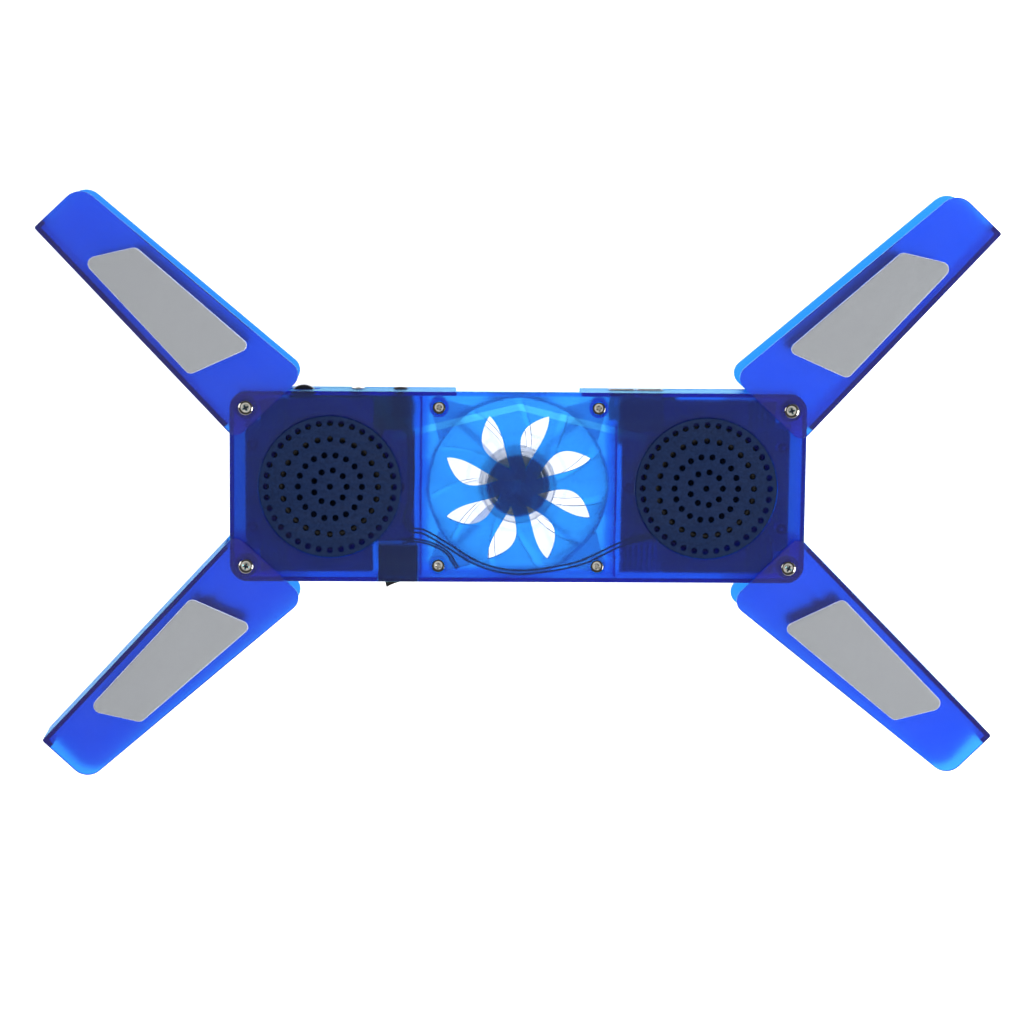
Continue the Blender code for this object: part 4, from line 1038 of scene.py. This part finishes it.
def chip(x, y, z, wide, deep, tall):
    """Package with a row of legs front and rear."""
    parts = [block(x - wide / 2, y - deep / 2, x + wide / 2, y + deep / 2, z + 0.05, z + tall,
                   0.2, 2, edge=0.12, steps=2, mat=CHIP)]
    legs = max(2, int(wide / LEG_PITCH))
    for k in range(legs):
        leg = x - wide / 2 + (k + 0.5) * wide / legs
        for side in (-1, 1):
            y0, y1 = sorted((y + side * deep / 2, y + side * (deep / 2 + LEG_LENGTH)))
            parts.append(block(leg - LEG_HALF, y0, leg + LEG_HALF, y1, z + 0.02, z + 0.35,
                               0.05, 1, edge=0.04, steps=1, mat=CHROME))
    return parts


def capacitor(x, y, z, wide, tall):
    radius = wide / 2
    return turned([(0, z + 0.02), (radius, z + 0.02), (radius, z + tall - 0.3),
                   (radius - 0.3, z + tall), (radius - 0.8, z + tall - 0.15),
                   (0, z + tall - 0.15)], 32, CAN, x, y)


def circuit_board(node, table, hole_ends):
    lo, hi = span(node)
    ends = {"left": lo.x + 3, "right": hi.x - 3}
    parts = [block(lo.x, lo.y, hi.x, hi.y, lo.z, hi.z, 0.8, 4, edge=0.08, steps=1, mat=BOARD,
                   holes=[circle(ends[end], lo.y + 3, 1.2, 20) for end in hole_ends])]
    for x, y, wide, deep, tall, kind in table:
        if kind == "chip":
            parts += chip(x, y, hi.z, wide, deep, tall)
        elif kind == "can":
            parts.append(capacitor(x, y, hi.z, wide, tall))
        else:
            parts.append(block(x - wide / 2, y - deep / 2, x + wide / 2, y + deep / 2,
                               hi.z + 0.02, hi.z + tall, 0.1, 1, edge=0.08, steps=1, mat=WHITE))
    finish(merge(parts), node, 35)


circuit_board("amplifier_board", AMPLIFIER_PARTS, ("left", "right"))
circuit_board("usb_board", USB_PARTS, ("right",))


# ------------------------------------------------------------------ sockets and controls
def usb_port(node, x):
    lo, hi = span(node)
    shell = block(lo.x, lo.y, hi.x, hi.y, lo.z, hi.z, 0.15, 2, mat=CHROME)
    cut(shell, block(lo.x + 0.5, lo.y + 1.5, hi.x - 0.5, hi.y + 1.5, lo.z + 0.5, hi.z - 0.5,
                     mat=CHROME))
    cut(shell, *[block(x + side * 2.6 - 0.9, lo.y + 6, x + side * 2.6 + 0.9, lo.y + 9.5,
                       hi.z - 0.8, hi.z + 1, mat=CHROME) for side in (-1, 1)])
    parts = [shell, block(x - 4.6, lo.y + 0.8, x + 4.6, hi.y - 1.1, 12.9, 14.4, 0.1, 1,
                          edge=0.1, steps=1, mat=WHITE)]
    for k in range(4):                      # contacts under the tongue
        parts.append(block(x - 3.9 + k * 2.3, lo.y + 3.0, x - 2.9 + k * 2.3, hi.y - 1.6,
                           12.75, 12.95, 0.05, 1, edge=0.03, steps=1, mat=CHROME))
    return merge(parts)


def jack(x, barrel_mat, has_pin):
    """Socket facing the rear; its turned parts are profiled in (radius, y)."""
    case = block(x - 4.0, 30.5, x + 4.0, 40.8, 9.7, 17.0, 0.3, 2, edge=0.25, steps=2, mat=BLACK)
    facing = (Matrix.Translation((x * MM, 0, JACK_Z * MM))
              @ Matrix.Rotation(-math.pi / 2, 4, "X"))

    def rearward(profile, sides, mat):
        obj = turned(profile, sides, mat)
        obj.data.transform(facing)
        return obj

    barrel = rearward([(1.8, 40.0), (3.05, 40.0), (3.05, 43.6), (2.8, 43.9), (2.1, 43.9),
                       (1.8, 43.6)], 48, barrel_mat)
    cut(case, rearward([(0, 33.0), (1.8, 33.0), (1.8, 46.0), (0, 46.0)], 48, BLACK))
    parts = [case, barrel]
    if has_pin:
        parts.append(rearward([(0, 33.5), (0.5, 33.5), (0.5, 42.2), (0.35, 42.6), (0, 42.7)], 24,
                              CHROME))
    return merge(parts)


def volume_pot():
    lo, hi = span("volume_pot")
    return merge([
        block(lo.x, lo.y, hi.x, hi.y, 9.7, 12.8, 0.4, 3, edge=0.2, steps=2, mat=BLACK),
        turned([(0, 12.5), (1.2, 12.5), (1.2, 15.2), (1.0, 15.4), (0, 15.4)], 32, CHROME,
               WHEEL.x, WHEEL.y)])


def volume_wheel():
    lo, hi = span("volume_wheel")
    teeth, crest = 60, 6.75
    root = crest - 0.3
    knurl = []
    for k in range(teeth):
        for part, radius in ((0.0, root), (0.22, root), (0.36, crest), (0.86, crest)):
            angle = 2 * math.pi * (k + part) / teeth
            knurl.append((WHEEL.x + radius * math.cos(angle), WHEEL.y + radius * math.sin(angle)))
    wheel = slab(knurl, lo.z, hi.z, 0.12, 1, BLACK_GLOSS)
    dish = turned([(0, hi.z - 0.35), (4.4, hi.z - 0.35), (4.8, hi.z + 1), (0, hi.z + 1)], 48,
                  BLACK_GLOSS, WHEEL.x, WHEEL.y)
    bore = slab(circle(WHEEL.x, WHEEL.y, 1.5, 32), lo.z - 1, hi.z - 0.9, mat=BLACK_GLOSS)
    return cut(wheel, dish, bore)


def rocker_housing():
    lo, hi = span("rocker_housing")
    housing = block(lo.x, lo.y, hi.x, hi.y, lo.z, hi.z, 0.5, 4, edge=0.3, steps=2, mat=BLACK)
    return cut(housing, block(ROCKER.x - 8.1, -46, ROCKER.x + 8.1, -36.3, 12.0, 22.0, mat=BLACK))


def rocker_button():
    """Button with a bowed front face and three fine upright ribs towards each end."""
    lo, hi = span("rocker_button")
    half = 6.6

    def face_y(x):
        return -4.7 - 1.1 * (x / half) ** 2

    outline = [(x, face_y(x)) for x in [-half + 2 * half * k / 12 for k in range(13)]]
    outline += [(half, -1.0), (2.5, 2.2), (-2.5, 2.2), (-half, -1.0)]
    parts = [slab(outline, lo.z, hi.z, 0.35, 3, BLACK_GLOSS)]
    for side in (-1, 1):
        for k in range(3):
            x = side * (3.4 + k * 1.0)
            parts.append(turned([(0, lo.z + 2.2), (0.28, lo.z + 2.2), (0.28, hi.z - 2.2),
                                 (0, hi.z - 2.2)], 12, BLACK_GLOSS, x, face_y(x) + 0.1))
    button = merge(parts)
    button.data.transform(Matrix.Translation((ROCKER.x * MM, ROCKER.y * MM, 0))
                          @ Matrix.Rotation(math.radians(13.0), 4, "Z"))
    return button


for word, x in USB_X.items():
    finish(usb_port("usb_port_" + word, x), "usb_port_" + word, 35)
finish(jack(JACK_X["audio_jack"], CHROME, has_pin=False), "audio_jack", 35)
finish(jack(JACK_X["power_jack"], BLACK, has_pin=True), "power_jack", 35)
finish(volume_pot(), "volume_pot", 35)
finish(volume_wheel(), "volume_wheel", 30, "volume_wheel")
finish(rocker_housing(), "rocker_housing", 30)
finish(rocker_button(), "rocker_button", 30, "rocker_button")

# ------------------------------------------------------------------ twin leads
LINK_PATH = (
    (-55, 28.0, 10.3), (-54, 27.9, 16.5), (-50.6, 26.3, 21.4), (-48.3, 19, 22.6),
    (-48.2, -6, 22.6), (-50.3, -14.0, 22.6), (-48.2, -19.6, 22.6), (-42, -21.0, 22.6),
    (-31, -27.5, 22.6), (-21.5, -33.4, 22.6), (-10, -37.8, 22.6), (1.2, -39.2, 22.6),
    (13, -38.0, 22.6), (25, -35.6, 22.6), (34, -32.4, 22.6), (46.5, -26.3, 22.6),
    (55, -23.6, 22.4), (61.5, -22.0, 22.2))
FAN_PATH = ((-27, -37.4, 22.2), (-32, -30.4, 22.4), (-38, -26.8, 22.3), (-44.2, -25.0, 22.2),
            (-48.5, -24.8, 21.9), (-52.2, -25.6, 21.7))
SPEAKER_PATH = ((-62, 29.6, 10.3), (-61.8, 29.6, 15.5), (-61.4, 28.8, 20.0), (-61.2, 26.0, 21.9),
                (-62.6, 21.9, 22.0))


def twin_lead(node, path, radius, shift):
    build = bmesh.new()
    add_wire(build, path, radius, shift)
    add_wire(build, path, radius, -shift)
    finish(make(build, WIRE), node, 50)


twin_lead("link_lead", LINK_PATH, radius=0.44, shift=0.88)
twin_lead("fan_lead", FAN_PATH, radius=0.42, shift=0.55)
twin_lead("speaker_lead_left", SPEAKER_PATH, radius=0.42, shift=0.48)


# ------------------------------------------------------------------ stage, light, camera (metres)
def stage_floor():
    """White floor that glows a little, more towards the right."""
    build = bmesh.new()
    half, z = 4.0, -0.0002
    build.faces.new([build.verts.new((x, y, z)) for x, y in rectangle(-half, -half, half, half)])
    mat, nodes, out = new_material("studio_white")
    diffuse = nodes.add("ShaderNodeBsdfDiffuse", Color=(0.86, 0.86, 0.865, 1))
    across = nodes.add("ShaderNodeSeparateXYZ", Vector=nodes.where()).outputs["X"]
    level = nodes.ramp(across, from_low=-0.22, from_high=0.22, low=0.90, high=1.42)
    glow = nodes.add("ShaderNodeEmission", Color=(1, 1, 1, 1), Strength=level)
    total = nodes.add("ShaderNodeAddShader", i0=diffuse.outputs[0], i1=glow.outputs[0])
    nodes.feed(out.inputs["Surface"], total.outputs[0])
    floor = make(build, mat)
    floor.name = floor.data.name = "floor"
    if floor.data.polygons[0].normal.z < 0:
        floor.data.flip_normals()


def studio_world():
    """White walls low down, dark above them, and a soft ring of light round the camera."""
    world = bpy.data.worlds.new("studio")
    bpy.context.scene.world = world
    world.use_nodes = True
    world.node_tree.nodes.clear()
    nodes = Nodes(world.node_tree)
    direction = nodes.add("ShaderNodeTexCoord").outputs["Generated"]
    height = nodes.add("ShaderNodeSeparateXYZ", Vector=direction).outputs["Z"]

    def band(from_low, from_high, low, high):
        return nodes.ramp(height, from_low, from_high, low, high, interpolation_type="SMOOTHSTEP")

    walls = band(0.16, 0.55, low=1.0, high=0.06)
    ring = nodes.math("MULTIPLY", band(0.88, 0.95, low=0.0, high=1.0),
                      band(0.972, 0.992, low=0.80, high=0.40))
    shade = nodes.mix(nodes.math("MAXIMUM", ring, walls), (0.0, 0.0, 0.0, 1), (1.0, 1.0, 1.0, 1))
    back = nodes.add("ShaderNodeBackground", Color=shade, Strength=0.95)
    out = nodes.add("ShaderNodeOutputWorld")
    nodes.feed(out.inputs["Surface"], back.outputs[0])


def area_light(name, location, size, power, glossy=True):
    """Square lamp aimed at the origin."""
    data = bpy.data.lights.new(name, "AREA")
    data.shape = "SQUARE"
    data.size = size
    data.energy = power
    obj = bpy.data.objects.new(name, data)
    bpy.context.scene.collection.objects.link(obj)
    obj.location = location
    obj.rotation_euler = (-Vector(location)).to_track_quat("-Z", "Y").to_euler()
    obj.visible_glossy = glossy
    obj.visible_transmission = False


def camera():
    """Long lens almost straight above, looking down."""
    data = bpy.data.cameras.new("camera")
    obj = bpy.data.objects.new("camera", data)
    bpy.context.scene.collection.objects.link(obj)
    data.sensor_width = 36.0
    data.lens = 105.5390625
    data.clip_start, data.clip_end = 0.05, 20.0
    x, y, z = -0.0499445, 0.1723107, 1.3677596
    right = Vector((0.99938331, 0.00947056, 0.03381293)).normalized()
    ahead = Vector((0.03478454, -0.13537522, -0.99018361)).normalized()
    up = right.cross(ahead).normalized()
    right = ahead.cross(up).normalized()
    obj.matrix_world = Matrix(((right.x, up.x, -ahead.x, x), (right.y, up.y, -ahead.y, y),
                               (right.z, up.z, -ahead.z, z), (0, 0, 0, 1)))
    bpy.context.scene.camera = obj


def render_settings():
    scene = bpy.context.scene
    scene.view_settings.view_transform = "Standard"
    scene.view_settings.look = "None"
    cycles = scene.cycles
    cycles.transparent_max_bounces = 64
    cycles.max_bounces = 24
    cycles.transmission_bounces = 22
    cycles.diffuse_bounces = 4
    cycles.glossy_bounces = 6
    cycles.caustics_reflective = False
    cycles.caustics_refractive = False
    cycles.sample_clamp_indirect = 4.0
    cycles.denoising_input_passes = "RGB"


stage_floor()
studio_world()
area_light("overhead", (0.15, 0.0, 1.75), size=1.6, power=24.0, glossy=False)
area_light("right_fill", (1.6, -0.5, 1.0), size=1.0, power=13.0)
area_light("left_fill", (-1.6, 0.4, 1.0), size=1.0, power=5.0)
camera()
render_settings()
